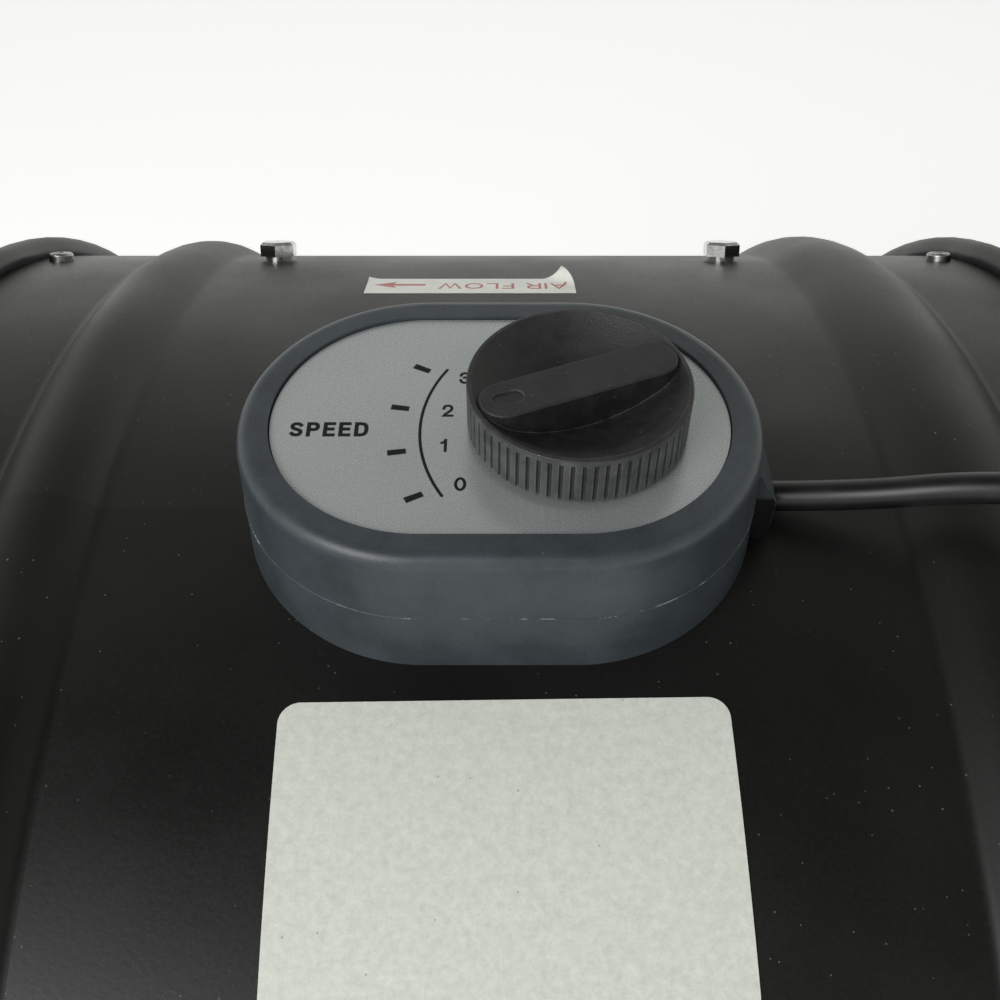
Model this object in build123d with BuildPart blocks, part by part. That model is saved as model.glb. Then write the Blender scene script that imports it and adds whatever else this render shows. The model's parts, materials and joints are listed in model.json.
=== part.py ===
"""Drum blower for drying boots: a short steel drum with an axial fan inside
and a speed control box on top.

Frame: origin on the floor under the middle of the drum, +Z up.
The drum's axis runs along X. Air goes in at the +X end and out at the -X end.
The cord leaves the +X end of the control box. All sizes are in millimetres.
"""
from build123d import *
import os
from math import asin, cos, degrees, pi, radians, sin, sqrt, tan

os.makedirs("parts", exist_ok=True)

# ---------------------------------------------------------------- drum sizes
drum_radius = 268.0          # outer radius of the plain sheet
drum_wall = 2.0
drum_length = 300.0
drum_clearance = 32.0        # floor to the drum
waist_half = 82.8            # middle of the drum to the root of each bead
inlet_bead_half = 15.0
inlet_bead_rise = 6.2
outlet_bead_half = 11.5
outlet_bead_rise = 4.8
bead_root_radius = 4.0
edge_roll_radius = 4.0       # sheet rolled round a wire at both ends

# --------------------------------------------------------- frame and fasteners
bolt_angle = 30.0            # frame bolts, measured round the drum from the top
bolt_spread = 68.0           # middle of the drum to each frame bolt
bolt_radius = 3.0            # M6
bolt_across_flats = 10.0
bolt_head_height = 4.2
collar_radius = 4.0
collar_height = 1.5
nut_across_flats = 10.0
nut_height = 5.0
screw_radius = 2.0           # M4
screw_head_radius = 3.6
screw_head_height = 2.4
small_screw_radius = 1.5     # M3
small_head_radius = 2.75
small_head_height = 1.6
hole_clearance = 0.3
strut_width = 25.0
strut_thickness = 4.0
strut_tab_half_angle = 5.0
tab_radial_thickness = 4.0

# ------------------------------------------------------------------- guards
guard_inset = 9.0            # drum end to the ring plane
guard_ring_count = 12
guard_ring_pitch = 18.0
guard_wire_radius = 1.4
guard_rim_wire_radius = 2.0
guard_spoke_radius = 1.6
guard_spoke_count = 10
guard_disc_radius = 52.0
guard_tab_count = 6
guard_tab_width = 20.0
guard_tab_length = 16.0
guard_tab_thickness = 2.0
guard_nut_across = 7.0
guard_nut_height = 3.2
guard_nut_gap = 0.6          # nut corner to the rim wire

# -------------------------------------------------------------------- motor
motor_radius = 59.0
motor_case_wall = 3.0
motor_case_length = 90.0
end_bell_length = 17.0
end_bell_wall = 4.0
stator_bore_radius = 33.0
stator_length = 66.0
rotor_air_gap = 0.5
shaft_radius = 6.0
shaft_running_clearance = 0.02
bearing_radius = 14.0
bearing_width = 8.0
shelf_drop = 85.0            # motor axis to the top of the shelf
shelf_thickness = 3.0
shelf_flange_height = 26.0
shelf_length = 166.0
saddle_width = 12.0
saddle_ear = 16.0            # motor to the saddle's end
saddle_clearance = 1.5       # strap to the conduit
strap_thickness = 2.5
strap_width = 12.0
capacitor_radius = 19.0
capacitor_length = 78.0
clip_wall = 1.5
conduit_radius = 6.0
conduit_wall = 1.2
grommet_neck = 2.0

# ----------------------------------------------------------------- impeller
impeller_centre = -108.0
blade_count = 5
blade_tip_radius = 258.0
blade_thickness = 3.0
blade_root_chord = 62.0
blade_root_pitch = 38.0
blade_tip_chord = 104.0
blade_tip_pitch = 22.0
hub_radius = 45.0
hub_length = 36.0
hub_nut_across_flats = 19.0
hub_nut_height = 8.0
hub_washer_radius = 14.0
hub_washer_thickness = 2.0

# --------------------------------------------------------------------- feet
foot_beyond_bolts = 36.0     # frame bolts to the foot's end
foot_flange_width = 40.0
foot_plate = 3.0
foot_web = 4.0
pad_height = 10.0
pad_length = 50.0
pad_width = 36.0
pad_inset = 48.0             # foot's end to the middle of the pad
pad_screw_offset = 11.0
foot_bolt_angle = 16.0       # measured round the drum from the bottom
foot_bolt_offset = 11.0      # web to the bolts on each side of it
floor_hole_radius = 4.5
floor_hole_inset = 12.0      # foot's end to the floor hole

# -------------------------------------------------------------- control box
box_length = 100.0           # outline at the rim
box_width = 71.5
box_draft = 2.5              # degrees, walls lean outwards towards the drum
face_above_drum = 25.8
rim_above_face = 0.8
seam_below_face = 14.6
cover_edge_radius = 2.8
box_wall = 2.4
lip_height = 2.0
lip_thickness = 1.0
lip_clearance = 0.15
face_length = 87.4
face_width = 58.6
face_thickness = 1.0
face_clearance = 0.25
boss_radius = 3.6
boss_inset_x = 26.0          # box end to its screw bosses
boss_inset_y = 10.75
wall_screw_inset = 20.0
wall_screw_offset = 20.0

# ----------------------------------------------------------- knob and switch
knob_x = 14.6                # from the middle of the box
knob_y = -1.7
knob_radius = 20.8
knob_gap = 1.3               # face plate to the knob's lower edge
knob_height = 10.0           # lower edge to the rim
knob_rib_count = 64
knob_groove_radius = 0.42
dish_radius = 20.0
dish_depth = 7.7
grip_width = 9.2
grip_length = 39.0
grip_above_rim = 0.5
pointer_angle = 202.0        # grip's pointer end, round +Z from +X
dimple_length = 6.0
dimple_width = 3.2
dimple_depth = 0.25
dimple_offset = 14.2
switch_radius = 14.0
switch_depth = 13.0
bushing_radius = 4.5
switch_shaft_radius = 3.0
switch_shaft_reach = 7.5     # above the face plate
knob_socket_depth = 6.5
knob_recess_radius = 12.0
knob_recess_depth = 3.4
terminal_x = -17.0
terminal_length = 16.0
terminal_width = 32.0
terminal_height = 11.0

# -------------------------------------------------------------------- cord
cord_radius = 3.15
cord_above_drum = 3.8        # centre line above the drum at the exit
cord_block_width = 16.0
cord_block_reach = 3.5       # beyond the foot of the box wall
cord_block_height = 18.0
relief_radius = 5.2
relief_inner_radius = 4.2
relief_length = 22.0
relief_flange = 1.5
coil_inner_turn = 31.85      # centre line of the innermost turn
coil_columns = 3
coil_rows = 2
tie_thickness = 1.0
tie_width = 14.0
plug_length = 40.0
plug_width = 25.0
plug_height = 17.0
plug_neck_length = 14.0
plug_neck_radius = 5.2
blade_pin_length = 17.0
blade_pin_width = 6.3
blade_pin_thickness = 1.5
blade_pin_spread = 6.35
earth_pin_radius = 2.4
earth_pin_length = 20.0

# -------------------------------------------------------------------- labels
label_thickness = 0.3
rating_label_left = -40.1
rating_label_right = 42.4
rating_label_top_angle = 9.45
rating_label_height = 55.0
rating_label_corner = 4.0
rating_label_tilt = 0.84     # it was laid on by hand
air_label_left = -37.0
air_label_right = 20.7
air_label_start_angle = 20.2
air_label_end_angle = 23.3

# ------------------------------------------------------------- derived places
drum_inner = drum_radius - drum_wall
axis_height = drum_clearance + drum_radius
drum_top = axis_height + drum_radius
face_z = drum_top + face_above_drum
rim_z = face_z + rim_above_face
seam_z = face_z - seam_below_face
recess_z = face_z - face_thickness
ceiling_z = recess_z - box_wall
box_floor_z = drum_top + box_wall
draft_slope = tan(radians(box_draft))
seam_grow = (rim_z - seam_z) * draft_slope
base_grow = (rim_z - drum_top) * draft_slope
axis_point = (0, 0, axis_height)
drum_axis = Axis(axis_point, (1, 0, 0))
motor_z = axis_height
shelf_top = motor_z - shelf_drop
half_case = motor_case_length / 2
bearing_x = half_case + end_bell_length - end_bell_wall - bearing_width / 2
guard_x = drum_length / 2 - guard_inset
guard_rim_radius = drum_inner - guard_tab_thickness - 0.75 * guard_rim_wire_radius
foot_half_span = drum_radius * sin(radians(bolt_angle)) + foot_beyond_bolts
pad_offset = foot_half_span - pad_inset
floor_hole_offset = foot_half_span - floor_hole_inset
saddle_span = 2 * (motor_radius + saddle_ear)
boss_spread_x = box_length / 2 - boss_inset_x
boss_spread_y = box_width / 2 - boss_inset_y
wall_screw_spread = box_length / 2 - wall_screw_inset
strut_y = drum_inner * sin(radians(bolt_angle)) - strut_thickness / 2
shelf_half_width = strut_y
cord_exit_x = box_length / 2 + base_grow + cord_block_reach
cord_z = drum_top + cord_above_drum


def keep(builder, node):
    """Label a finished piece and write its file."""
    builder.part.label = node
    export_step(builder.part, f"parts/{node}.step")


def round_the_drum(x, angle, radius):
    """Plane on the drum, angle from the top towards +Y, facing outwards."""
    turn = radians(angle)
    outward = (0, sin(turn), cos(turn))
    place = (x, radius * outward[1], axis_height + radius * outward[2])
    return Plane(origin=place, x_dir=(1, 0, 0), z_dir=outward)


def inward(plane):
    """The same place, facing the drum's axis."""
    return Plane(origin=plane.origin, x_dir=plane.x_dir, z_dir=plane.z_dir * -1)


def flat_seat(radius, half_width):
    """Radius at which a flat face of this half width rests on a round wall."""
    return sqrt(radius**2 - half_width**2)


def hex_bolt(across_flats, head, shank_radius, shank_length, gap=0.0):
    """Hexagon bolt with the underside of its head at gap above the origin."""
    with BuildPart() as bolt:
        with BuildSketch(Plane.XY.offset(gap)):
            RegularPolygon(across_flats / 2, 6, major_radius=False, rotation=30)
        extrude(amount=head)
        chamfer(bolt.faces().sort_by(Axis.Z)[-1].edges(), 0.2 * head)
        with BuildSketch(Plane.XY.offset(gap)):
            Circle(shank_radius)
        extrude(amount=-shank_length - gap)
    return bolt.part


def hex_nut(across_flats, height, hole_radius):
    with BuildPart() as nut:
        with BuildSketch():
            RegularPolygon(across_flats / 2, 6, major_radius=False)
            Circle(hole_radius, mode=Mode.SUBTRACT)
        extrude(amount=height)
    return nut.part


def pan_screw(head_radius, head_height, shank_radius, shank_length):
    """Pan head screw with a cross slot, head above the origin."""
    with BuildPart() as screw:
        with BuildSketch():
            Circle(head_radius)
        extrude(amount=head_height)
        fillet(screw.edges().sort_by(Axis.Z)[-1], 0.4 * head_height)
        with BuildSketch(Plane.XY.offset(head_height)):
            Rectangle(1.2 * head_radius, 0.3 * head_radius)
            Rectangle(0.3 * head_radius, 1.2 * head_radius)
        extrude(amount=-0.5 * head_height, mode=Mode.SUBTRACT)
        with BuildSketch():
            Circle(shank_radius)
        extrude(amount=-shank_length)
    return screw.part


# ------------------------------------------------- places of bolts and screws
foot_spread = bolt_spread - foot_bolt_offset
strut_places = [(x, side) for x in (-bolt_spread, bolt_spread) for side in (-1, 1)]
frame_bolt_angles = (bolt_angle, -bolt_angle, 180 - bolt_angle, bolt_angle - 180)
frame_bolt_spots = [(x, a) for x in (-bolt_spread, bolt_spread) for a in frame_bolt_angles]
foot_bolt_spots = [
    (foot * foot_spread + side * foot_bolt_offset, 180 + turn * foot_bolt_angle)
    for foot in (-1, 1) for side in (-1, 1) for turn in (-1, 1)
]
guard_tab_angles = [30 + 360 / guard_tab_count * i for i in range(guard_tab_count)]
guard_nut_corner = guard_nut_across / 2 / cos(radians(30))
guard_screw_x = guard_x - guard_wire_radius - guard_nut_corner - guard_nut_gap
guard_screw_spots = [(side * guard_screw_x, a) for side in (-1, 1) for a in guard_tab_angles]
box_screw_spots = [
    (side_x * wall_screw_spread, degrees(asin(side_y * wall_screw_offset / drum_radius)))
    for side_x in (-1, 1) for side_y in (-1, 1)
]
conduit_x = terminal_x - terminal_length / 2 - conduit_radius - 2.5
saddle_spread = abs(conduit_x) - conduit_radius - strap_width / 2 - saddle_clearance

# --------------------------------------------------------------------- drum
inlet_bead_x = waist_half + inlet_bead_half
outlet_bead_x = -waist_half - outlet_bead_half
roll_centre_x = drum_length / 2 - edge_roll_radius
roll_centre_r = drum_inner + edge_roll_radius
profile_plane = Plane(origin=axis_point, x_dir=(1, 0, 0), z_dir=(0, -1, 0))


def bead_inside(half, rise):
    """Half width and rise of the inner face of a bead in the sheet."""
    crown = (half**2 + rise**2) / (2 * rise)
    inner_half = sqrt((crown - drum_wall) ** 2 - (crown - rise - drum_wall) ** 2)
    return inner_half, rise


inlet_inner_half, inlet_inner_rise = bead_inside(inlet_bead_half, inlet_bead_rise)
outlet_inner_half, outlet_inner_rise = bead_inside(outlet_bead_half, outlet_bead_rise)

with BuildPart() as drum:
    with BuildSketch(profile_plane) as wall:
        with BuildLine():
            Line((-roll_centre_x, drum_radius), (outlet_bead_x - outlet_bead_half, drum_radius))
            ThreePointArc(
                (outlet_bead_x - outlet_bead_half, drum_radius),
                (outlet_bead_x, drum_radius + outlet_bead_rise),
                (outlet_bead_x + outlet_bead_half, drum_radius),
            )
            Line((outlet_bead_x + outlet_bead_half, drum_radius),
                 (inlet_bead_x - inlet_bead_half, drum_radius))
            ThreePointArc(
                (inlet_bead_x - inlet_bead_half, drum_radius),
                (inlet_bead_x, drum_radius + inlet_bead_rise),
                (inlet_bead_x + inlet_bead_half, drum_radius),
            )
            Line((inlet_bead_x + inlet_bead_half, drum_radius), (roll_centre_x, drum_radius))
            Line((roll_centre_x, drum_radius), (roll_centre_x, drum_inner))
            Line((roll_centre_x, drum_inner), (inlet_bead_x + inlet_inner_half, drum_inner))
            ThreePointArc(
                (inlet_bead_x + inlet_inner_half, drum_inner),
                (inlet_bead_x, drum_inner + inlet_inner_rise),
                (inlet_bead_x - inlet_inner_half, drum_inner),
            )
            Line((inlet_bead_x - inlet_inner_half, drum_inner),
                 (outlet_bead_x + outlet_inner_half, drum_inner))
            ThreePointArc(
                (outlet_bead_x + outlet_inner_half, drum_inner),
                (outlet_bead_x, drum_inner + outlet_inner_rise),
                (outlet_bead_x - outlet_inner_half, drum_inner),
            )
            Line((outlet_bead_x - outlet_inner_half, drum_inner), (-roll_centre_x, drum_inner))
            Line((-roll_centre_x, drum_inner), (-roll_centre_x, drum_radius))
        make_face()
        roots = wall.vertices().filter_by(
            lambda v: abs(v.Y - drum_radius) < 0.01 and abs(v.X) < roll_centre_x - 1)
        fillet(roots, bead_root_radius)
        with Locations((-roll_centre_x, roll_centre_r), (roll_centre_x, roll_centre_r)):
            Circle(edge_roll_radius)
    revolve(axis=drum_axis)
    # Holes for the frame bolts, foot bolts, guard screws and box screws.
    for spots, radius in (
        (frame_bolt_spots, bolt_radius), (foot_bolt_spots, bolt_radius),
        (guard_screw_spots, screw_radius), (box_screw_spots, screw_radius),
    ):
        with Locations(*[round_the_drum(x, a, drum_radius) for x, a in spots]):
            Cylinder(radius + hole_clearance, 6 * drum_wall, mode=Mode.SUBTRACT)
    # Hole for the motor conduit.
    with Locations((conduit_x, 0, drum_top)):
        Cylinder(conduit_radius + grommet_neck, 6 * drum_wall, mode=Mode.SUBTRACT)
keep(drum, "drum")

# ------------------------------------------------------------------- guards
guard_tab_face = flat_seat(drum_inner, guard_tab_width / 2)


def wire_guard(side):
    """Welded wire guard in the inlet (side 1) or outlet (side -1) end."""
    thickness = 2 * guard_wire_radius
    spoke_length = guard_rim_radius - guard_disc_radius + 2
    spoke_middle = (guard_rim_radius + guard_disc_radius - 2) / 2
    turns = [360 / guard_spoke_count * (i + 0.5) for i in range(guard_spoke_count)]
    with BuildPart() as guard:
        with BuildSketch(Plane.YZ.offset(side * guard_x - thickness / 2)):
            with Locations((0, axis_height)):
                for i in range(guard_ring_count):
                    radius = guard_rim_radius - guard_ring_pitch * i
                    half = guard_wire_radius if i else guard_rim_wire_radius
                    Circle(radius + half)
                    Circle(radius - half, mode=Mode.SUBTRACT)
                Circle(guard_disc_radius)
            with Locations(*[Location((0, axis_height, 0), turn) * Location((spoke_middle, 0, 0))
                             for turn in turns]):
                Rectangle(spoke_length, 2 * guard_spoke_radius)
        extrude(amount=thickness)
        for angle in guard_tab_angles:
            turn = Location(axis_point, (-angle, 0, 0))
            with Locations(turn * Location((side * guard_screw_x, 0, guard_tab_face))):
                Box(guard_tab_length, guard_tab_width, guard_tab_thickness,
                    align=(Align.CENTER, Align.CENTER, Align.MAX))
        holes = [round_the_drum(x, a, drum_inner) for x, a in guard_screw_spots if x * side > 0]
        with Locations(*holes):
            Cylinder(screw_radius + hole_clearance, 6 * guard_tab_thickness, mode=Mode.SUBTRACT)
    return guard


inlet_guard = wire_guard(1)
keep(inlet_guard, "inlet_guard")
outlet_guard = wire_guard(-1)
keep(outlet_guard, "outlet_guard")

guard_nut_radius = guard_tab_face - guard_tab_thickness
guard_screw_length = drum_radius - guard_nut_radius + 4.5
guard_screw = pan_screw(screw_head_radius, screw_head_height, screw_radius, guard_screw_length)
with BuildPart() as guard_screws:
    with Locations(*[round_the_drum(x, a, drum_radius) for x, a in guard_screw_spots]):
        add(guard_screw)
keep(guard_screws, "guard_screws")

guard_nut = hex_nut(guard_nut_across, guard_nut_height, screw_radius)
with BuildPart() as guard_nuts:
    with Locations(*[inward(round_the_drum(x, a, guard_nut_radius)) for x, a in guard_screw_spots]):
        add(guard_nut)
keep(guard_nuts, "guard_nuts")

# ------------------------------------------------- struts that carry the motor
tab_inner = drum_inner - tab_radial_thickness
strut_top = sqrt((drum_inner - 1.0) ** 2 - (strut_y + strut_thickness / 2) ** 2)
with BuildPart() as motor_struts:
    with Locations(*[(x, side * strut_y, axis_height) for x, side in strut_places]):
        Box(strut_width, strut_thickness, 2 * strut_top)
    for x in (-bolt_spread, bolt_spread):
        for angle in frame_bolt_angles:
            start = radians(90 - angle - strut_tab_half_angle)
            end = radians(90 - angle + strut_tab_half_angle)
            with BuildSketch(Plane.YZ.offset(x - strut_width / 2)):
                with BuildLine():
                    CenterArc((0, axis_height), drum_inner, degrees(start), 2 * strut_tab_half_angle)
                    CenterArc((0, axis_height), tab_inner, degrees(start), 2 * strut_tab_half_angle)
                    for turn in (start, end):
                        Line(
                            (tab_inner * cos(turn), axis_height + tab_inner * sin(turn)),
                            (drum_inner * cos(turn), axis_height + drum_inner * sin(turn)),
                        )
                make_face()
            extrude(amount=strut_width)
    with Locations(*[round_the_drum(x, a, drum_inner) for x, a in frame_bolt_spots]):
        Cylinder(bolt_radius + hole_clearance, 4 * tab_radial_thickness, mode=Mode.SUBTRACT)
    # A flat for each nut on the inside of the tab, cut level with the strut.
    with Locations(*[inward(round_the_drum(x, a, tab_inner)) for x, a in frame_bolt_spots]):
        Cylinder(nut_across_flats * 0.62, nut_height * 2.4, mode=Mode.SUBTRACT,
                 align=(Align.CENTER, Align.CENTER, Align.MIN))
    shelf_bolt_z = shelf_top - shelf_thickness - shelf_flange_height / 2
    shelf_bolt_spots = [
        (x + step, side) for x, side in strut_places for step in (-6.5, 6.5)
    ]
    with Locations(*[Location((x, side * strut_y, shelf_bolt_z), (90, 0, 0))
                     for x, side in shelf_bolt_spots]):
        Cylinder(screw_radius + hole_clearance, 4 * strut_thickness, mode=Mode.SUBTRACT)
keep(motor_struts, "motor_struts")

foot_seat = drum_radius + foot_plate


def frame_seat_at(angle):
    """Upper bolts sit on the drum, lower ones on the feet."""
    return drum_radius if abs(angle) < 90 else foot_seat


frame_places = [round_the_drum(x, a, frame_seat_at(a)) for x, a in frame_bolt_spots]
with BuildPart() as bolt_collars:
    with Locations(*frame_places):
        Cylinder(collar_radius, collar_height, align=(Align.CENTER, Align.CENTER, Align.MIN))
        Cylinder(bolt_radius, 4 * collar_height, mode=Mode.SUBTRACT)
keep(bolt_collars, "bolt_collars")

frame_grip = foot_seat - tab_inner + nut_height + 1.5
frame_bolt = hex_bolt(bolt_across_flats, bolt_head_height, bolt_radius, frame_grip, collar_height)
with BuildPart() as frame_bolts:
    with Locations(*frame_places):
        add(frame_bolt)
keep(frame_bolts, "frame_bolts")

nut_half_corner = nut_across_flats / 2 / cos(pi / 6)
frame_nut = hex_nut(nut_across_flats, nut_height, bolt_radius)
frame_nut_seat = flat_seat(tab_inner, nut_half_corner)
with BuildPart() as frame_nuts:
    with Locations(*[inward(round_the_drum(x, a, frame_nut_seat)) for x, a in frame_bolt_spots]):
        add(frame_nut)
keep(frame_nuts, "frame_nuts")

# --------------------------------------------------------------- motor shelf
shelf_inner_face = strut_y - strut_thickness / 2
saddle_screw_y = saddle_span / 2 - 8
saddle_screw_spots = [
    (x, y) for x in (-saddle_spread, saddle_spread) for y in (-saddle_screw_y, saddle_screw_y)
]
with BuildPart() as motor_shelf:
    with BuildSketch(Plane.XY.offset(shelf_top - shelf_thickness)):
        Rectangle(shelf_length, 2 * shelf_inner_face)
    extrude(amount=shelf_thickness)
    for side in (-1, 1):
        with Locations((0, side * (shelf_inner_face - shelf_thickness / 2), shelf_top)):
            Box(shelf_length, shelf_thickness, shelf_flange_height,
                align=(Align.CENTER, Align.CENTER, Align.MAX))
    with Locations(*[Location((x, side * shelf_inner_face, shelf_bolt_z), (90, 0, 0))
                     for x, side in shelf_bolt_spots]):
        Cylinder(screw_radius + hole_clearance, 4 * shelf_thickness, mode=Mode.SUBTRACT)
    with Locations(*[(x, y, shelf_top) for x, y in saddle_screw_spots]):
        Cylinder(screw_radius + hole_clearance, 4 * shelf_thickness, mode=Mode.SUBTRACT)
keep(motor_shelf, "motor_shelf")

shelf_stack = shelf_thickness + strut_thickness
shelf_screw = pan_screw(screw_head_radius, screw_head_height, screw_radius, shelf_stack + 4.2)
shelf_nut = hex_nut(7.0, 3.2, screw_radius)
head_side = strut_y + strut_thickness / 2
nut_side = shelf_inner_face - shelf_thickness
with BuildPart() as shelf_screws:
    with Locations(*[Plane(origin=(x, side * head_side, shelf_bolt_z), z_dir=(0, side, 0))
                     for x, side in shelf_bolt_spots]):
        add(shelf_screw)
keep(shelf_screws, "shelf_screws")
with BuildPart() as shelf_nuts:
    with Locations(*[Plane(origin=(x, side * nut_side, shelf_bolt_z), z_dir=(0, -side, 0))
                     for x, side in shelf_bolt_spots]):
        add(shelf_nut)
keep(shelf_nuts, "shelf_nuts")

# ------------------------------------------------------- saddles and straps
with BuildPart() as motor_saddles:
    with Locations(*[(x, 0, shelf_top) for x in (-saddle_spread, saddle_spread)]):
        Box(saddle_width, saddle_span, shelf_drop, align=(Align.CENTER, Align.CENTER, Align.MIN))
    # Lightened sides: the walls lean in above the screwed-down feet.
    for side in (-1, 1):
        with Locations((0, side * (saddle_span / 2), shelf_top + 8)):
            Box(motor_case_length, 12, shelf_drop - 26,
                align=(Align.CENTER, Align.CENTER, Align.MIN), mode=Mode.SUBTRACT)
    with Locations(Location(axis_point, (0, 90, 0))):
        Cylinder(motor_radius, motor_case_length, mode=Mode.SUBTRACT)
    with Locations(*[(x, y, shelf_top) for x, y in saddle_screw_spots]):
        Cylinder(screw_radius, 12, mode=Mode.SUBTRACT, align=(Align.CENTER, Align.CENTER, Align.MIN))
    strap_ear_y = motor_radius + strap_thickness + 6.5
    with Locations(*[(x, side * strap_ear_y, motor_z)
                     for x in (-saddle_spread, saddle_spread) for side in (-1, 1)]):
        Cylinder(screw_radius, 12, mode=Mode.SUBTRACT, align=(Align.CENTER, Align.CENTER, Align.MAX))
keep(motor_saddles, "motor_saddles")

saddle_screw = pan_screw(screw_head_radius, screw_head_height, screw_radius, shelf_thickness + 9)
with BuildPart() as saddle_screws:
    with Locations(*[Plane(origin=(x, y, shelf_top - shelf_thickness), z_dir=(0, 0, -1))
                     for x, y in saddle_screw_spots]):
        add(saddle_screw)
keep(saddle_screws, "saddle_screws")

ear_length = saddle_span / 2 - motor_radius
with BuildPart() as motor_straps:
    for x in (-saddle_spread, saddle_spread):
        with BuildSketch(Plane.YZ.offset(x - strap_width / 2)):
            with Locations((0, motor_z)):
                Circle(motor_radius + strap_thickness)
                for side in (-1, 1):
                    with Locations((side * (motor_radius + ear_length / 2), strap_thickness / 2)):
                        Rectangle(ear_length, strap_thickness)
                Circle(motor_radius, mode=Mode.SUBTRACT)
            with Locations((0, motor_z)):
                Rectangle(4 * motor_radius, 2 * motor_radius + 20,
                          align=(Align.CENTER, Align.MAX), mode=Mode.SUBTRACT)
        extrude(amount=strap_width)
    with Locations(*[(x, side * strap_ear_y, motor_z)
                     for x in (-saddle_spread, saddle_spread) for side in (-1, 1)]):
        Cylinder(screw_radius + hole_clearance, 4 * strap_thickness, mode=Mode.SUBTRACT)
keep(motor_straps, "motor_straps")

strap_screw = pan_screw(screw_head_radius, screw_head_height, screw_radius, strap_thickness + 9)
with BuildPart() as strap_screws:
    with Locations(*[(x, side * strap_ear_y, motor_z + strap_thickness)
                     for x in (-saddle_spread, saddle_spread) for side in (-1, 1)]):
        add(strap_screw)
keep(strap_screws, "strap_screws")

# ------------------------------------------------------------------- motor
case_inner = motor_radius - motor_case_wall
with BuildPart() as motor_case:
    with BuildSketch(Plane.YZ.offset(-half_case)):
        with Locations((0, motor_z)):
            Circle(motor_radius)
            Circle(case_inner, mode=Mode.SUBTRACT)
    extrude(amount=motor_case_length)
    with Locations((conduit_x, 0, motor_z + motor_radius)):
        Cylinder(conduit_radius, 4 * motor_case_wall, mode=Mode.SUBTRACT)
keep(motor_case, "motor_case")


def end_bell(side):
    """Cast cap on one end of the motor, with its bearing seat."""
    with BuildPart() as bell:
        with BuildSketch(profile_plane):
            with BuildLine():
                Polyline(
                    (side * half_case, case_inner),
                    (side * (half_case - 6), case_inner),
                    (side * (half_case - 6), case_inner - end_bell_wall),
                    (side * (half_case + end_bell_length - end_bell_wall), bearing_radius + 6),
                    (side * (bearing_x - bearing_width / 2), bearing_radius + 6),
                    (side * (bearing_x - bearing_width / 2), bearing_radius),
                    (side * (bearing_x + bearing_width / 2), bearing_radius),
                    (side * (bearing_x + bearing_width / 2), shaft_radius + 1),
                    (side * (half_case + end_bell_length), shaft_radius + 1),
                    (side * (half_case + end_bell_length), bearing_radius + 8),
                    (side * (half_case + 5), motor_radius),
                    (side * half_case, motor_radius),
                    close=True,
                )
            make_face()
        revolve(axis=drum_axis)
    return bell


drive_end_bell = end_bell(-1)
keep(drive_end_bell, "drive_end_bell")
rear_end_bell = end_bell(1)
keep(rear_end_bell, "rear_end_bell")

with BuildPart() as motor_stator:
    with BuildSketch(Plane.YZ.offset(-stator_length / 2)):
        with Locations((0, motor_z)):
            Circle(case_inner)
            Circle(stator_bore_radius, mode=Mode.SUBTRACT)
    extrude(amount=stator_length)
keep(motor_stator, "motor_stator")

with BuildPart() as motor_bearings:
    for side in (-1, 1):
        with BuildSketch(Plane.YZ.offset(side * bearing_x - bearing_width / 2)):
            with Locations((0, motor_z)):
                Circle(bearing_radius)
                Circle(shaft_radius + shaft_running_clearance, mode=Mode.SUBTRACT)
        extrude(amount=bearing_width)
keep(motor_bearings, "motor_bearings")

hub_front = impeller_centre - hub_length / 2
nut_front = hub_front - hub_washer_thickness - hub_nut_height
with BuildPart() as motor_shaft:
    with BuildSketch(Plane.YZ.offset(nut_front - 3)):
        with Locations((0, motor_z)):
            Circle(shaft_radius)
    extrude(amount=bearing_x + bearing_width / 2 - nut_front + 3)
    chamfer(motor_shaft.edges().sort_by(Axis.X)[0], 1.0)
keep(motor_shaft, "motor_shaft")

with BuildPart() as motor_rotor:
    with BuildSketch(Plane.YZ.offset(-stator_length / 2)):
        with Locations((0, motor_z)):
            Circle(stator_bore_radius - rotor_air_gap)
            Circle(shaft_radius, mode=Mode.SUBTRACT)
    extrude(amount=stator_length)
keep(motor_rotor, "motor_rotor")

# ---------------------------------------------------------------- impeller
def blade_section(radius, pitch):
    """Plane across a blade at this radius, its X along the chord."""
    turn = radians(pitch)
    return Plane(origin=(0, 0, radius), x_dir=(sin(turn), cos(turn), 0), z_dir=(0, 0, 1))


blade_root_radius = 0.66 * hub_radius
with BuildPart() as blade:
    with BuildSketch(blade_section(blade_root_radius, blade_root_pitch)):
        Rectangle(blade_root_chord, blade_thickness)
    with BuildSketch(blade_section(blade_tip_radius + 4, blade_tip_pitch)):
        Rectangle(blade_tip_chord, blade_thickness)
    loft()
    with Locations(Location((0, 0, 0), (0, 90, 0))):
        Cylinder(blade_tip_radius, drum_length, mode=Mode.INTERSECT)

with BuildPart() as impeller:
    with BuildSketch(Plane.YZ.offset(hub_front)):
        with Locations((0, motor_z)):
            Circle(hub_radius)
    extrude(amount=hub_length)
    fillet(impeller.edges().group_by(Axis.X)[0], 6)
    with Locations(*[Location((impeller_centre, 0, motor_z), (360 / blade_count * i, 0, 0))
                     for i in range(blade_count)]):
        add(blade.part)
    with Locations(Location((impeller_centre, 0, motor_z), (0, 90, 0))):
        Cylinder(shaft_radius, 2 * hub_length, mode=Mode.SUBTRACT)
keep(impeller, "impeller")

with BuildPart() as hub_washer:
    with BuildSketch(Plane.YZ.offset(hub_front - hub_washer_thickness)):
        with Locations((0, motor_z)):
            Circle(hub_washer_radius)
            Circle(shaft_radius, mode=Mode.SUBTRACT)
    extrude(amount=hub_washer_thickness)
keep(hub_washer, "hub_washer")

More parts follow.
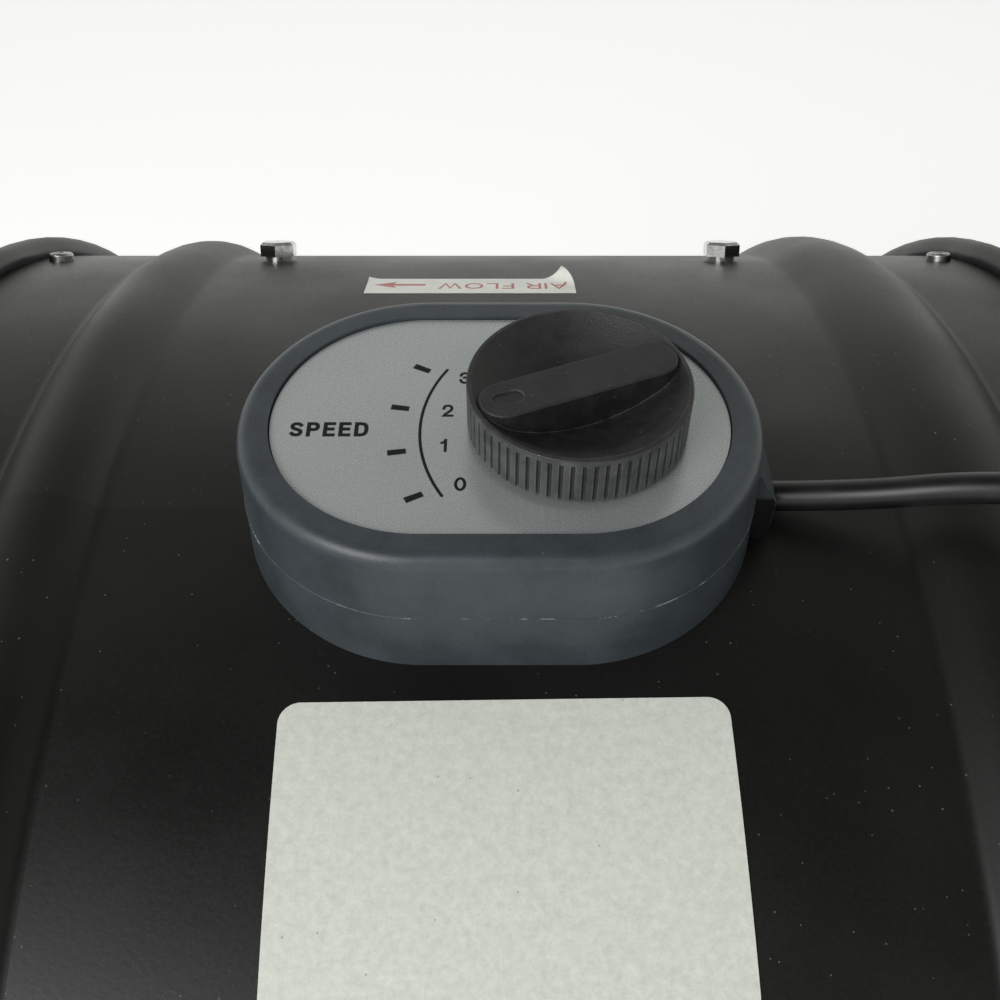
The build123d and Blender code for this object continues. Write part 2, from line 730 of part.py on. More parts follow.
shaft_nut = hex_nut(hub_nut_across_flats, hub_nut_height, shaft_radius)
with BuildPart() as hub_nut:
    with Locations(Plane(origin=(hub_front - hub_washer_thickness, 0, motor_z), z_dir=(-1, 0, 0))):
        add(shaft_nut)
keep(hub_nut, "hub_nut")

# ---------------------------------------------------- capacitor and conduit
capacitor_z = shelf_top + clip_wall + capacitor_radius
capacitor_offset = (saddle_span / 2 + shelf_inner_face) / 2
with BuildPart() as run_capacitor:
    with Locations(Location((0, capacitor_offset, capacitor_z), (0, 90, 0))):
        Cylinder(capacitor_radius, capacitor_length)
    fillet(run_capacitor.edges().filter_by(GeomType.CIRCLE), 2)
keep(run_capacitor, "run_capacitor")

clip_length = 14.0
with BuildPart() as capacitor_clip:
    with BuildSketch(Plane.YZ.offset(-clip_length / 2)):
        with Locations((capacitor_offset, capacitor_z)):
            Circle(capacitor_radius + clip_wall)
            with Locations((0, -capacitor_radius - clip_wall)):
                Rectangle(1.2 * capacitor_radius, clip_wall, align=(Align.CENTER, Align.MIN))
            Circle(capacitor_radius, mode=Mode.SUBTRACT)
            with Locations((0, capacitor_radius)):
                Rectangle(capacitor_radius, 10, mode=Mode.SUBTRACT)
    extrude(amount=clip_length)
keep(capacitor_clip, "capacitor_clip")

conduit_top = box_floor_z + 5
conduit_foot = motor_z + case_inner
with BuildPart() as motor_conduit:
    with BuildSketch(Plane.XY.offset(conduit_foot)):
        with Locations((conduit_x, 0)):
            Circle(conduit_radius)
            Circle(conduit_radius - conduit_wall, mode=Mode.SUBTRACT)
    extrude(amount=conduit_top - conduit_foot)
keep(motor_conduit, "motor_conduit")

grommet_radius = conduit_radius + 4.5
grommet_seat_z = axis_height + flat_seat(drum_inner, grommet_radius)
with BuildPart() as conduit_grommet:
    with BuildSketch(Plane.XZ):
        with BuildLine():
            Polyline(
                (conduit_x + conduit_radius, grommet_seat_z - 2.0),
                (conduit_x + grommet_radius, grommet_seat_z - 2.0),
                (conduit_x + grommet_radius, grommet_seat_z),
                (conduit_x + conduit_radius + grommet_neck, grommet_seat_z),
                (conduit_x + conduit_radius + grommet_neck, box_floor_z + 1.5),
                (conduit_x + conduit_radius, box_floor_z + 1.5),
                close=True,
            )
        make_face()
    revolve(axis=Axis((conduit_x, 0, 0), (0, 0, 1)))
keep(conduit_grommet, "conduit_grommet")

# --------------------------------------------------------------------- feet
flange_z = pad_height
web_foot_z = flange_z + foot_plate
flange_half_angle = degrees(asin(foot_half_span / drum_radius))
web_corner_z = axis_height - sqrt(drum_radius**2 - foot_half_span**2)
pad_spots = [(x * foot_spread, y * pad_offset) for x in (-1, 1) for y in (-1, 1)]
pad_screw_spots = [(x + step, y) for x, y in pad_spots for step in (-pad_screw_offset, pad_screw_offset)]


def steel_foot(side):
    """Pressed foot: floor flange, upright web and a saddle bent to the drum."""
    middle = side * foot_spread
    with BuildPart() as foot:
        with BuildSketch(Plane.XY.offset(flange_z)):
            with Locations((middle, 0)):
                RectangleRounded(foot_flange_width, 2 * foot_half_span, 6)
        extrude(amount=foot_plate)
        with BuildSketch(Plane.YZ.offset(middle - foot_web / 2)):
            with BuildLine():
                Polyline(
                    (-foot_half_span + 4, flange_z), (foot_half_span - 4, flange_z),
                    (foot_half_span, web_corner_z + 6), (-foot_half_span, web_corner_z + 6),
                    close=True,
                )
            make_face()
        extrude(amount=foot_web)
        with Locations(Location(axis_point, (0, 90, 0))):
            Cylinder(drum_radius + foot_plate / 2, drum_length, mode=Mode.SUBTRACT)
        with BuildSketch(Plane.YZ.offset(middle - foot_flange_width / 2)):
            with BuildLine():
                start = -90 - flange_half_angle
                CenterArc((0, axis_height), drum_radius, start, 2 * flange_half_angle)
                CenterArc((0, axis_height), drum_radius + foot_plate, start, 2 * flange_half_angle)
                for turn in (radians(start), radians(start + 2 * flange_half_angle)):
                    inner, outer = drum_radius, drum_radius + foot_plate
                    Line((inner * cos(turn), axis_height + inner * sin(turn)),
                         (outer * cos(turn), axis_height + outer * sin(turn)))
            make_face()
        extrude(amount=foot_flange_width)
        bolts = [(x, a) for x, a in frame_bolt_spots + foot_bolt_spots
                 if abs(a) > 90 and x * side > 0]
        with Locations(*[round_the_drum(x, a, drum_radius) for x, a in bolts]):
            Cylinder(bolt_radius + hole_clearance, 6 * foot_plate, mode=Mode.SUBTRACT)
        with Locations(*[(x, y, flange_z) for x, y in pad_screw_spots if x * side > 0]):
            Cylinder(screw_radius + hole_clearance, 6 * foot_plate, mode=Mode.SUBTRACT)
        with Locations(*[(side * bolt_spread, y * floor_hole_offset, flange_z) for y in (-1, 1)]):
            Cylinder(floor_hole_radius, 6 * foot_plate, mode=Mode.SUBTRACT)
    return foot


left_foot = steel_foot(-1)
keep(left_foot, "left_foot")
right_foot = steel_foot(1)
keep(right_foot, "right_foot")

foot_bolt_grip = foot_seat - drum_inner + nut_height + 1.5
foot_bolt = hex_bolt(bolt_across_flats, bolt_head_height, bolt_radius, foot_bolt_grip)
with BuildPart() as foot_bolts:
    with Locations(*[round_the_drum(x, a, foot_seat) for x, a in foot_bolt_spots]):
        add(foot_bolt)
keep(foot_bolts, "foot_bolts")

foot_nut_seat = flat_seat(drum_inner, nut_half_corner)
with BuildPart() as foot_nuts:
    with Locations(*[inward(round_the_drum(x, a, foot_nut_seat)) for x, a in foot_bolt_spots]):
        add(frame_nut)
keep(foot_nuts, "foot_nuts")

pad_sink = 5.0               # screw heads sit this far up inside the pads
with BuildPart() as rubber_pads:
    with BuildSketch():
        with Locations(*pad_spots):
            RectangleRounded(pad_width, pad_length, 5)
    extrude(amount=pad_height)
    fillet(rubber_pads.edges().group_by(Axis.Z)[0], 1.5)
    with Locations(*[(x, y, 0) for x, y in pad_screw_spots]):
        Cylinder(screw_head_radius + hole_clearance, pad_sink, mode=Mode.SUBTRACT,
                 align=(Align.CENTER, Align.CENTER, Align.MIN))
        Cylinder(screw_radius, pad_height, mode=Mode.SUBTRACT,
                 align=(Align.CENTER, Align.CENTER, Align.MIN))
keep(rubber_pads, "rubber_pads")

pad_screw_length = pad_height - pad_sink + foot_plate + 4.2
pad_screw = pan_screw(screw_head_radius, screw_head_height, screw_radius, pad_screw_length)
with BuildPart() as pad_screws:
    with Locations(*[Plane(origin=(x, y, pad_sink), z_dir=(0, 0, -1)) for x, y in pad_screw_spots]):
        add(pad_screw)
keep(pad_screws, "pad_screws")

with BuildPart() as pad_nuts:
    with Locations(*[(x, y, flange_z + foot_plate) for x, y in pad_screw_spots]):
        add(guard_nut)
keep(pad_nuts, "pad_nuts")

# ------------------------------------------------------------- control box
def box_outline(grow):
    """Obround outline of the box, larger than its rim by grow all round."""
    return SlotOverall(box_length + 2 * grow, box_width + 2 * grow)


boss_spots = [(x * boss_spread_x, y * boss_spread_y) for x in (-1, 1) for y in (-1, 1)]
base_low_z = axis_height + sqrt(drum_radius**2 - (box_width / 2 + 2 * base_grow) ** 2)
low_grow = (rim_z - base_low_z) * draft_slope
lip_outset = box_wall - lip_clearance - lip_thickness

with BuildPart() as base_hollow:
    with BuildSketch(Plane.XY.offset(base_low_z)):
        box_outline(low_grow - box_wall)
    extrude(amount=seam_z + lip_height - base_low_z, taper=box_draft)
    with Locations(Location(axis_point, (0, 90, 0))):
        Cylinder(drum_radius + box_wall, drum_length, mode=Mode.SUBTRACT)

with BuildPart() as box_base:
    with BuildSketch(Plane.XY.offset(base_low_z)):
        box_outline(low_grow)
    extrude(amount=seam_z - base_low_z, taper=box_draft)
    # Lip that locates the cover.
    with BuildSketch(Plane.XY.offset(seam_z)):
        box_outline(seam_grow - box_wall + lip_thickness)
    extrude(amount=lip_height)
    add(base_hollow.part, mode=Mode.SUBTRACT)
    with BuildSketch(Plane.XY.offset(base_low_z)):
        with Locations(*boss_spots):
            Circle(boss_radius)
    extrude(amount=seam_z - base_low_z)
    with Locations(Location(axis_point, (0, 90, 0))):
        Cylinder(drum_radius, drum_length, mode=Mode.SUBTRACT)
    with Locations(*[(x, y, seam_z) for x, y in boss_spots]):
        Cylinder(small_screw_radius, 10, mode=Mode.SUBTRACT, align=(Align.CENTER, Align.CENTER, Align.MAX))
    with Locations(*[round_the_drum(x, a, drum_radius) for x, a in box_screw_spots]):
        Cylinder(screw_radius + hole_clearance, 4 * box_wall, mode=Mode.SUBTRACT)
    with Locations((conduit_x, 0, drum_top)):
        Cylinder(conduit_radius + grommet_neck, 4 * box_wall, mode=Mode.SUBTRACT)
    # Cord entry.
    with Locations(Location((cord_exit_x, 0, cord_z), (0, 90, 0))):
        Cylinder(relief_inner_radius, 2 * relief_length + 2, mode=Mode.SUBTRACT)
keep(box_base, "box_base")

with BuildPart() as cover_hollow:
    with BuildSketch(Plane.XY.offset(seam_z)):
        box_outline(seam_grow - box_wall)
    extrude(amount=ceiling_z - seam_z, taper=box_draft)
    fillet(cover_hollow.edges().group_by(Axis.Z)[-1], 1.0)

with BuildPart() as box_cover:
    with BuildSketch(Plane.XY.offset(seam_z)):
        box_outline(seam_grow)
    extrude(amount=rim_z - seam_z, taper=box_draft)
    fillet(box_cover.edges().group_by(Axis.Z)[-1], cover_edge_radius)
    add(cover_hollow.part, mode=Mode.SUBTRACT)
    with BuildSketch(Plane.XY.offset(rim_z)):
        SlotOverall(face_length + 2 * face_clearance, face_width + 2 * face_clearance)
    extrude(amount=recess_z - rim_z, mode=Mode.SUBTRACT)
    # Step that fits round the base's lip.
    with BuildSketch(Plane.XY.offset(seam_z)):
        box_outline(seam_grow - box_wall + lip_thickness + lip_clearance)
    extrude(amount=lip_height + lip_clearance, mode=Mode.SUBTRACT)
    # Posts that stand on the base's bosses.
    with BuildSketch(Plane.XY.offset(seam_z)):
        with Locations(*boss_spots):
            Circle(boss_radius)
    extrude(amount=recess_z - seam_z)
    with Locations(*[(x, y, recess_z) for x, y in boss_spots]):
        Cylinder(small_screw_radius + hole_clearance, 2 * seam_below_face, mode=Mode.SUBTRACT)
        Cylinder(small_head_radius + hole_clearance, small_head_height + 0.1, mode=Mode.SUBTRACT,
                 align=(Align.CENTER, Align.CENTER, Align.MAX))
    with Locations((knob_x, knob_y, recess_z)):
        Cylinder(bushing_radius + hole_clearance, 4 * box_wall, mode=Mode.SUBTRACT)
keep(box_cover, "box_cover")

cover_screw_length = recess_z - small_head_height - 0.1 - seam_z + 8
cover_screw = pan_screw(small_head_radius, small_head_height, small_screw_radius, cover_screw_length)
with BuildPart() as cover_screws:
    with Locations(*[(x, y, recess_z - small_head_height - 0.1) for x, y in boss_spots]):
        add(cover_screw)
keep(cover_screws, "cover_screws")

box_screw_length = box_wall + drum_wall + 5.2
box_screw = pan_screw(screw_head_radius, screw_head_height, screw_radius, box_screw_length)
box_screw_seat = drum_radius + box_wall
with BuildPart() as box_screws:
    with Locations(*[round_the_drum(x, a, box_screw_seat) for x, a in box_screw_spots]):
        add(box_screw)
keep(box_screws, "box_screws")

box_nut_seat = flat_seat(drum_inner, 3.5 / cos(pi / 6))
with BuildPart() as box_nuts:
    with Locations(*[inward(round_the_drum(x, a, box_nut_seat)) for x, a in box_screw_spots]):
        add(guard_nut)
keep(box_nuts, "box_nuts")

with BuildPart() as face_plate:
    with BuildSketch(Plane.XY.offset(recess_z)):
        SlotOverall(face_length, face_width)
        with Locations((knob_x, knob_y)):
            Circle(bushing_radius + hole_clearance, mode=Mode.SUBTRACT)
    extrude(amount=face_thickness)
keep(face_plate, "face_plate")

# ---------------------------------------------------------- switch and knob
bushing_top = face_z + 2.4
with BuildPart() as rotary_switch:
    with BuildSketch(Plane.XY.offset(ceiling_z)):
        with Locations((knob_x, knob_y)):
            Circle(switch_radius)
    extrude(amount=-switch_depth)
    chamfer(rotary_switch.edges().group_by(Axis.Z)[0], 1.0)
    with BuildSketch(Plane.XY.offset(ceiling_z)):
        with Locations((knob_x, knob_y)):
            Circle(bushing_radius)
    extrude(amount=bushing_top - ceiling_z)
    # Four solder tags under the body.
    with BuildSketch(Plane.XY.offset(ceiling_z - switch_depth)):
        with Locations((knob_x, knob_y)):
            with PolarLocations(9.0, 4):
                Rectangle(0.8, 3.0)
    extrude(amount=-3.0)
    with Locations((knob_x, knob_y, bushing_top)):
        Cylinder(switch_shaft_radius + shaft_running_clearance, bushing_top - ceiling_z + 6,
                 mode=Mode.SUBTRACT, align=(Align.CENTER, Align.CENTER, Align.MAX))
keep(rotary_switch, "rotary_switch")

switch_shaft_foot = ceiling_z - 5.5
switch_shaft_top = face_z + switch_shaft_reach
with BuildPart() as switch_shaft:
    with BuildSketch(Plane.XY.offset(switch_shaft_foot)):
        with Locations((knob_x, knob_y)):
            Circle(switch_shaft_radius)
    extrude(amount=switch_shaft_top - switch_shaft_foot)
keep(switch_shaft, "switch_shaft")

switch_nut_part = hex_nut(14.0, 2.0, bushing_radius)
with BuildPart() as switch_nut:
    with Locations((knob_x, knob_y, face_z)):
        add(switch_nut_part)
keep(switch_nut, "switch_nut")

knob_foot_z = face_z + knob_gap
knob_rim_z = knob_foot_z + knob_height
dish_sphere = (dish_radius**2 + dish_depth**2) / (2 * dish_depth)
knob_place = Location((knob_x, knob_y, 0), (0, 0, pointer_angle))
with BuildPart() as speed_knob:
    with BuildSketch(Plane.XY.offset(knob_foot_z)):
        with Locations((knob_x, knob_y)):
            Circle(knob_radius)
    extrude(amount=knob_height)
    fillet(speed_knob.edges().group_by(Axis.Z)[-1], 0.5)
    # Round hollow in the top.
    with Locations((knob_x, knob_y, knob_rim_z - dish_depth + dish_sphere)):
        Sphere(dish_sphere, mode=Mode.SUBTRACT)
    # Grip bar across the hollow, its pointer end marked by a dimple.
    with BuildSketch(Plane.XY.offset(knob_rim_z - dish_depth - 1.0)):
        with Locations(knob_place):
            SlotOverall(grip_length, grip_width)
    extrude(amount=dish_depth + 1.0 + grip_above_rim)
    fillet(speed_knob.edges().group_by(Axis.Z)[-1], 0.4)
    with BuildSketch(Plane.XY.offset(knob_rim_z + grip_above_rim)):
        with Locations(knob_place * Location((dimple_offset, 0, 0))):
            SlotOverall(dimple_length, dimple_width)
    extrude(amount=-dimple_depth, mode=Mode.SUBTRACT)
    # Ribs round the side: the sheet between them is cut away.
    with BuildSketch(Plane.XY.offset(knob_foot_z)):
        with Locations((knob_x, knob_y)):
            with PolarLocations(knob_radius, knob_rib_count):
                Circle(knob_groove_radius)
    extrude(amount=knob_height - 1.2, mode=Mode.SUBTRACT)
    # Recess over the switch nut, and the socket for the shaft.
    with BuildSketch(Plane.XY.offset(knob_foot_z)):
        with Locations((knob_x, knob_y)):
            Circle(knob_recess_radius)
    extrude(amount=knob_recess_depth - knob_gap, mode=Mode.SUBTRACT)
    with BuildSketch(Plane.XY.offset(knob_foot_z)):
        with Locations((knob_x, knob_y)):
            Circle(switch_shaft_radius)
    extrude(amount=switch_shaft_top - knob_foot_z, mode=Mode.SUBTRACT)
keep(speed_knob, "speed_knob")

with BuildPart() as terminal_block:
    with Locations((terminal_x, 0, box_floor_z - 0.6)):
        Box(terminal_length, terminal_width, terminal_height,
            align=(Align.CENTER, Align.CENTER, Align.MIN))
    with Locations(Location(axis_point, (0, 90, 0))):
        Cylinder(drum_radius + box_wall, drum_length, mode=Mode.SUBTRACT)
    with Locations((terminal_x, 0, box_floor_z + terminal_height)):
        with GridLocations(0, terminal_width / 4, 1, 4):
            Cylinder(2.2, 6, mode=Mode.SUBTRACT)
keep(terminal_block, "terminal_block")

# -------------------------------------------------------------- cord entry
block_inner_x = box_length / 2
block_top_z = cord_z + cord_block_height - cord_above_drum
with BuildPart() as cord_block:
    with BuildSketch(Plane.XZ.offset(-cord_block_width / 2)):
        with BuildLine():
            Polyline(
                (block_inner_x - 6, drum_top - 2), (cord_exit_x, drum_top - 2),
                (cord_exit_x, cord_z + relief_radius), (block_inner_x, block_top_z),
                (block_inner_x - 6, block_top_z),
                close=True,
            )
        make_face()
    extrude(amount=cord_block_width)
    fillet(cord_block.edges().filter_by(Axis.Z).group_by(Axis.X)[-1], 2.0)
    # The inner side follows the box wall, the lower side the drum.
    with BuildSketch(Plane.XY.offset(base_low_z)):
        box_outline(low_grow)
    extrude(amount=rim_z - base_low_z, taper=box_draft, mode=Mode.SUBTRACT)
    with Locations(Location(axis_point, (0, 90, 0))):
        Cylinder(drum_radius, drum_length, mode=Mode.SUBTRACT)
    with Locations(Location((cord_exit_x, 0, cord_z), (0, 90, 0))):
        Cylinder(relief_inner_radius, 40, mode=Mode.SUBTRACT)
        Cylinder(relief_radius, 2 * relief_flange, mode=Mode.SUBTRACT)
keep(cord_block, "cord_block")

with BuildPart() as strain_relief:
    with BuildSketch(Plane(origin=(0, 0, cord_z), x_dir=(1, 0, 0), z_dir=(0, -1, 0))):
        with BuildLine():
            Polyline(
                (cord_exit_x, cord_radius), (cord_exit_x, relief_radius - 0.8),
                (cord_exit_x - 0.4, relief_radius), (cord_exit_x - relief_flange, relief_radius),
                (cord_exit_x - relief_flange, relief_inner_radius),
                (cord_exit_x - relief_length + 6, relief_inner_radius),
                (cord_exit_x - relief_length, cord_radius + 0.3),
                (cord_exit_x - relief_length, cord_radius),
                close=True,
            )
        make_face()
    revolve(axis=Axis((0, 0, cord_z), (1, 0, 0)))
    with Locations(Location(axis_point, (0, 90, 0))):
        Cylinder(drum_radius, drum_length, mode=Mode.SUBTRACT)
keep(strain_relief, "strain_relief")

# ----------------------------------------------------------------- mains cord
# From the box over the inlet bead, down past the drum's end, along the floor.
cord_points = [
    (cord_exit_x, 0, cord_z),
    (71, -3, 575.0), (92, -8, 583.6), (117, -13.5, 587.0), (143, -18, 586.0),
    (168, -21.5, 575.5), (184.5, -24.5, 554), (190, -27, 525), (188.5, -28.5, 484),
    (190, -30, 424), (188, -31, 350), (190.5, -33, 276), (188.5, -34.5, 202),
    (190, -36.5, 140), (191, -41, 92), (193, -50, 54), (196, -65, 26), (199, -87, 9),
    (202, -114, 4.2), (205, -140, 4.2),
]
# From the coil to the plug.
tail_points = [(287.35, -135.6, 4.2), (288, -121, 4.9), (287.5, -106, 7.3), (287.5, -92, 8.5)]
coil_centre = (242.9, -135.6)
cord_bore = coil_inner_turn - cord_radius
coil_outer = coil_inner_turn + (2 * coil_columns - 1) * cord_radius
coil_height = 2 * cord_radius * coil_rows + 0.1


def bend_radii(points):
    """Radius of the arc at each inner point, as large as its two runs allow."""
    radii = []
    for before, corner, after in zip(points, points[1:], points[2:]):
        first = Vector(*corner) - Vector(*before)
        second = Vector(*after) - Vector(*corner)
        half_turn = radians(first.get_angle(second)) / 2
        radii.append(0.45 * min(first.length, second.length) / tan(half_turn))
    return radii


def cord_tube(points):
    """Round tube along straight runs joined by tangent arcs."""
    with BuildPart() as tube:
        with BuildLine() as route:
            FilletPolyline(*points, radius=bend_radii(points))
        path = route.wire()
        with BuildSketch(Plane(origin=path @ 0, z_dir=path % 0)):
            Circle(cord_radius)
        sweep(path=path)
    full = pi * cord_radius**2 * path.length
    print("cord run", round(path.length, 1), "mm, volume over section times length",
          round(tube.part.volume / full, 4))
    return tube


print("cord bend radii", [round(r, 1) for r in bend_radii(cord_points) + bend_radii(tail_points)])
power_cord = cord_tube(cord_points)
keep(power_cord, "power_cord")
cord_tail = cord_tube(tail_points)
keep(cord_tail, "cord_tail")

with BuildPart() as cord_coil:
    with BuildSketch(Plane.XZ):
        with Locations(((coil_outer + cord_bore) / 2, tie_thickness + coil_height / 2)):
            RectangleRounded(coil_outer - cord_bore, coil_height, cord_radius)
    revolve(axis=Axis.Z)
cord_coil.part = Location((*coil_centre, 0)) * cord_coil.part
keep(cord_coil, "cord_coil")

with BuildPart() as cord_tie:
    band_middle = coil_centre[1] - (coil_outer + cord_bore) / 2
    band_inside = coil_outer - cord_bore + 2 * tie_thickness
    with BuildSketch(Plane.YZ.offset(coil_centre[0] - tie_width / 2)):
        with Locations((band_middle, tie_thickness + coil_height / 2)):
            RectangleRounded(band_inside + 2 * tie_thickness, coil_height + 2 * tie_thickness, 3.0)
            RectangleRounded(band_inside, coil_height, 2.0, mode=Mode.SUBTRACT)
    extrude(amount=tie_width)
keep(cord_tie, "cord_tie")

plug_x, plug_y, plug_z = tail_points[-1]
body_y = plug_y + plug_neck_length
pin_y = body_y + plug_length
with BuildPart() as plug:
    with BuildSketch(Plane(origin=(plug_x, body_y, plug_z), x_dir=(1, 0, 0), z_dir=(0, 1, 0))):
        RectangleRounded(plug_width, plug_height, 5)
    extrude(amount=plug_length)
    fillet(plug.edges().group_by(Axis.Y)[0], 3)
    with BuildSketch(Plane(origin=(plug_x, plug_y, plug_z), z_dir=(0, 1, 0))):
        Circle(plug_neck_radius - 1.2)
    with BuildSketch(Plane(origin=(plug_x, body_y + 4, plug_z), z_dir=(0, 1, 0))):
        Circle(plug_neck_radius + 1.2)
    loft()
keep(plug, "plug")

with BuildPart() as plug_pins:
    for side in (-1, 1):
        with Locations((plug_x + side * blade_pin_spread, pin_y, plug_z - 2.5)):
            Box(blade_pin_thickness, blade_pin_length, blade_pin_width,
                align=(Align.CENTER, Align.MIN, Align.CENTER))
    with Locations(Location((plug_x, pin_y, plug_z + 4.0), (-90, 0, 0))):
        Cylinder(earth_pin_radius, earth_pin_length, align=(Align.CENTER, Align.CENTER, Align.MIN))
keep(plug_pins, "plug_pins")

# -------------------------------------------------------------------- labels
def curved_label(left, right, start_angle, end_angle, corner, tilt):
    """Thin label on the drum, between two angles round it from the top."""
    middle = (start_angle + end_angle) / 2
    half_chord = drum_radius * sin(radians(abs(end_angle - start_angle) / 2))
    place = round_the_drum((left + right) / 2, middle, drum_radius)
    with BuildPart() as sheet:
        with BuildSketch(place):
            if corner:
                RectangleRounded(right - left, 2 * half_chord, corner, rotation=tilt)
            else:
                Rectangle(right - left, 2 * half_chord, rotation=tilt)
        extrude(amount=12, both=True)
        with Locations(Location(axis_point, (0, 90, 0))):
            Cylinder(drum_radius + label_thickness, drum_length, mode=Mode.INTERSECT)
            Cylinder(drum_radius, drum_length, mode=Mode.SUBTRACT)
    return sheet


rating_label_end = rating_label_top_angle + degrees(rating_label_height / drum_radius)
rating_label = curved_label(rating_label_left, rating_label_right, -rating_label_end,
                            -rating_label_top_angle, rating_label_corner, rating_label_tilt)
keep(rating_label, "rating_label")
air_label = curved_label(air_label_left, air_label_right, air_label_start_angle,
                         air_label_end_angle, 0, 0)
keep(air_label, "airflow_label")
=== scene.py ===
"""Looks of the drum blower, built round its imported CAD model. All places are in metres."""
import json
from math import cos, degrees, pi, radians, sin

import bmesh
import bpy
from mathutils import Matrix, Vector


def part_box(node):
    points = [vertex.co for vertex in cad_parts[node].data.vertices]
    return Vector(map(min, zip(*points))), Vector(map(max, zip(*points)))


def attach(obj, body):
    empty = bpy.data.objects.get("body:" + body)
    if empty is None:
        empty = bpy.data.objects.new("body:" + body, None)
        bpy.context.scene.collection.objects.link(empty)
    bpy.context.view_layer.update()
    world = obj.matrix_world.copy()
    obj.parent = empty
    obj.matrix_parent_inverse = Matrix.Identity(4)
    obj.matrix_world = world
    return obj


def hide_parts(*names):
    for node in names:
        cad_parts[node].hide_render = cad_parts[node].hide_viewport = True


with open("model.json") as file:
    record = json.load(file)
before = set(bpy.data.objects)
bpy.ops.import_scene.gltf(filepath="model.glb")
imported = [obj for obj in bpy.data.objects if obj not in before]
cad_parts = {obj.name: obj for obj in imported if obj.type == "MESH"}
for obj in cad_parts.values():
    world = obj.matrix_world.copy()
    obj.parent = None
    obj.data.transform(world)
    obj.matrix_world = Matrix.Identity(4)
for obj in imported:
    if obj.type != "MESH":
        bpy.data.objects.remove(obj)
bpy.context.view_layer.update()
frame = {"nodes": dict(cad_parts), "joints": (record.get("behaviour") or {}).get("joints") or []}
nodes = frame["nodes"]
MM = 0.001

# ----------------------------------------------------------- places on the part
plate_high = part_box("face_plate")[1]
drum_low, drum_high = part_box("drum")
knob_low, knob_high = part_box("speed_knob")
face_z = plate_high.z
axis_z = (drum_low.z + drum_high.z) / 2
knob_joint = next(j for j in frame["joints"] if j["name"] == "knob_turn")
knob_x, knob_y = knob_joint["pos_m"][:2]
knob_radius = (knob_high.x - knob_low.x) / 2
box_rise = 25.8 * MM                  # face plate above the top of the plain sheet
sheet_radius = face_z - box_rise - axis_z
cord_level = 571.8 * MM              # middle of the cord where it leaves the box


def on_drum(x, along, lift=0.0):
    """Point on the drum: x, distance round it from the top towards the back, and height above it."""
    angle = along / sheet_radius
    reach = sheet_radius + lift
    return Vector((x, reach * sin(angle), axis_z + reach * cos(angle)))


# ------------------------------------------------------------ camera and lights
def aim(thing, place, target):
    """Puts a light or camera at place and turns it to look at target."""
    thing.location = place
    thing.rotation_euler = (Vector(target) - Vector(place)).to_track_quat("-Z", "Y").to_euler()


def soft_light(name, place, target, size, power, colour=(1, 1, 1)):
    data = bpy.data.lights.new(name, "AREA")
    data.shape = "RECTANGLE"
    data.size, data.size_y = size
    data.energy = power
    data.color = colour
    light = bpy.data.objects.new(name, data)
    bpy.context.scene.collection.objects.link(light)
    aim(light, place, target)
    return light


camera_back = 158.6 * MM
camera_rise = 152.7 * MM
camera_pitch = radians(47.97)
sensor_width = 36.0                   # millimetres
lens_ratio = 1.153                    # focal length over sensor width

camera_data = bpy.data.cameras.new("camera")
camera_data.sensor_width = sensor_width
camera_data.lens = sensor_width * lens_ratio
camera_data.clip_start = 0.01
camera_data.clip_end = 50
camera = bpy.data.objects.new("camera", camera_data)
camera.location = (0, -camera_back, face_z + camera_rise)
camera.rotation_euler = (pi / 2 - camera_pitch, 0, 0)
bpy.context.scene.collection.objects.link(camera)
bpy.context.scene.camera = camera
bpy.context.scene.view_settings.view_transform = "Standard"

# ----------------------------------------------------------------- node helpers
def linear(hex_colour):
    """sRGB hex text to a linear RGBA tuple."""
    parts = [int(hex_colour[i:i + 2], 16) / 255 for i in (1, 3, 5)]
    return tuple(p / 12.92 if p <= 0.04045 else ((p + 0.055) / 1.055) ** 2.4 for p in parts) + (1,)


def add(tree, kind, inputs=(), **settings):
    """Adds a node; inputs are (socket, value or output) pairs."""
    made = tree.nodes.new(kind)
    for name, value in settings.items():
        setattr(made, name, value)
    for socket, value in inputs:
        if isinstance(value, bpy.types.NodeSocket):
            tree.links.new(value, made.inputs[socket])
        else:
            made.inputs[socket].default_value = value
    return made


def new_material(name):
    """Empty material with its shader, its tree and the object coordinates."""
    material = bpy.data.materials.new(name)
    material.use_nodes = True
    tree = material.node_tree
    shader = tree.nodes["Principled BSDF"]
    place = add(tree, "ShaderNodeTexCoord").outputs["Object"]
    return material, tree, shader, place


def grain(tree, place, size_mm, detail=3.0, roughness=0.5):
    """Noise whose features are about size_mm across, 0 to 1."""
    return add(tree, "ShaderNodeTexNoise", [
        ("Vector", place), ("Scale", 1000 / size_mm), ("Detail", detail), ("Roughness", roughness),
    ]).outputs["Fac"]


def spread(tree, value, low, high, to_low=0.0, to_high=1.0):
    """Maps low..high of value to to_low..to_high, held at the ends."""
    return add(tree, "ShaderNodeMapRange", [
        ("Value", value), ("From Min", low), ("From Max", high),
        ("To Min", to_low), ("To Max", to_high),
    ]).outputs["Result"]


def blend_colour(tree, share, first, second):
    """Colour mix: first where share is 0, second where it is 1."""
    mixed = add(tree, "ShaderNodeMix", [("Factor", share), (6, first), (7, second)], data_type="RGBA")
    return mixed.outputs[2]


def maths(tree, operation, first, second=0.0):
    return add(tree, "ShaderNodeMath", [(0, first), (1, second)], operation=operation).outputs[0]


def bumps(tree, shader, height, distance_mm, strength=1.0):
    made = add(tree, "ShaderNodeBump", [
        ("Height", height), ("Distance", distance_mm * MM), ("Strength", strength),
    ])
    tree.links.new(made.outputs["Normal"], shader.inputs["Normal"])
    return made


def wire(tree, output, shader, socket):
    tree.links.new(output, shader.inputs[socket])


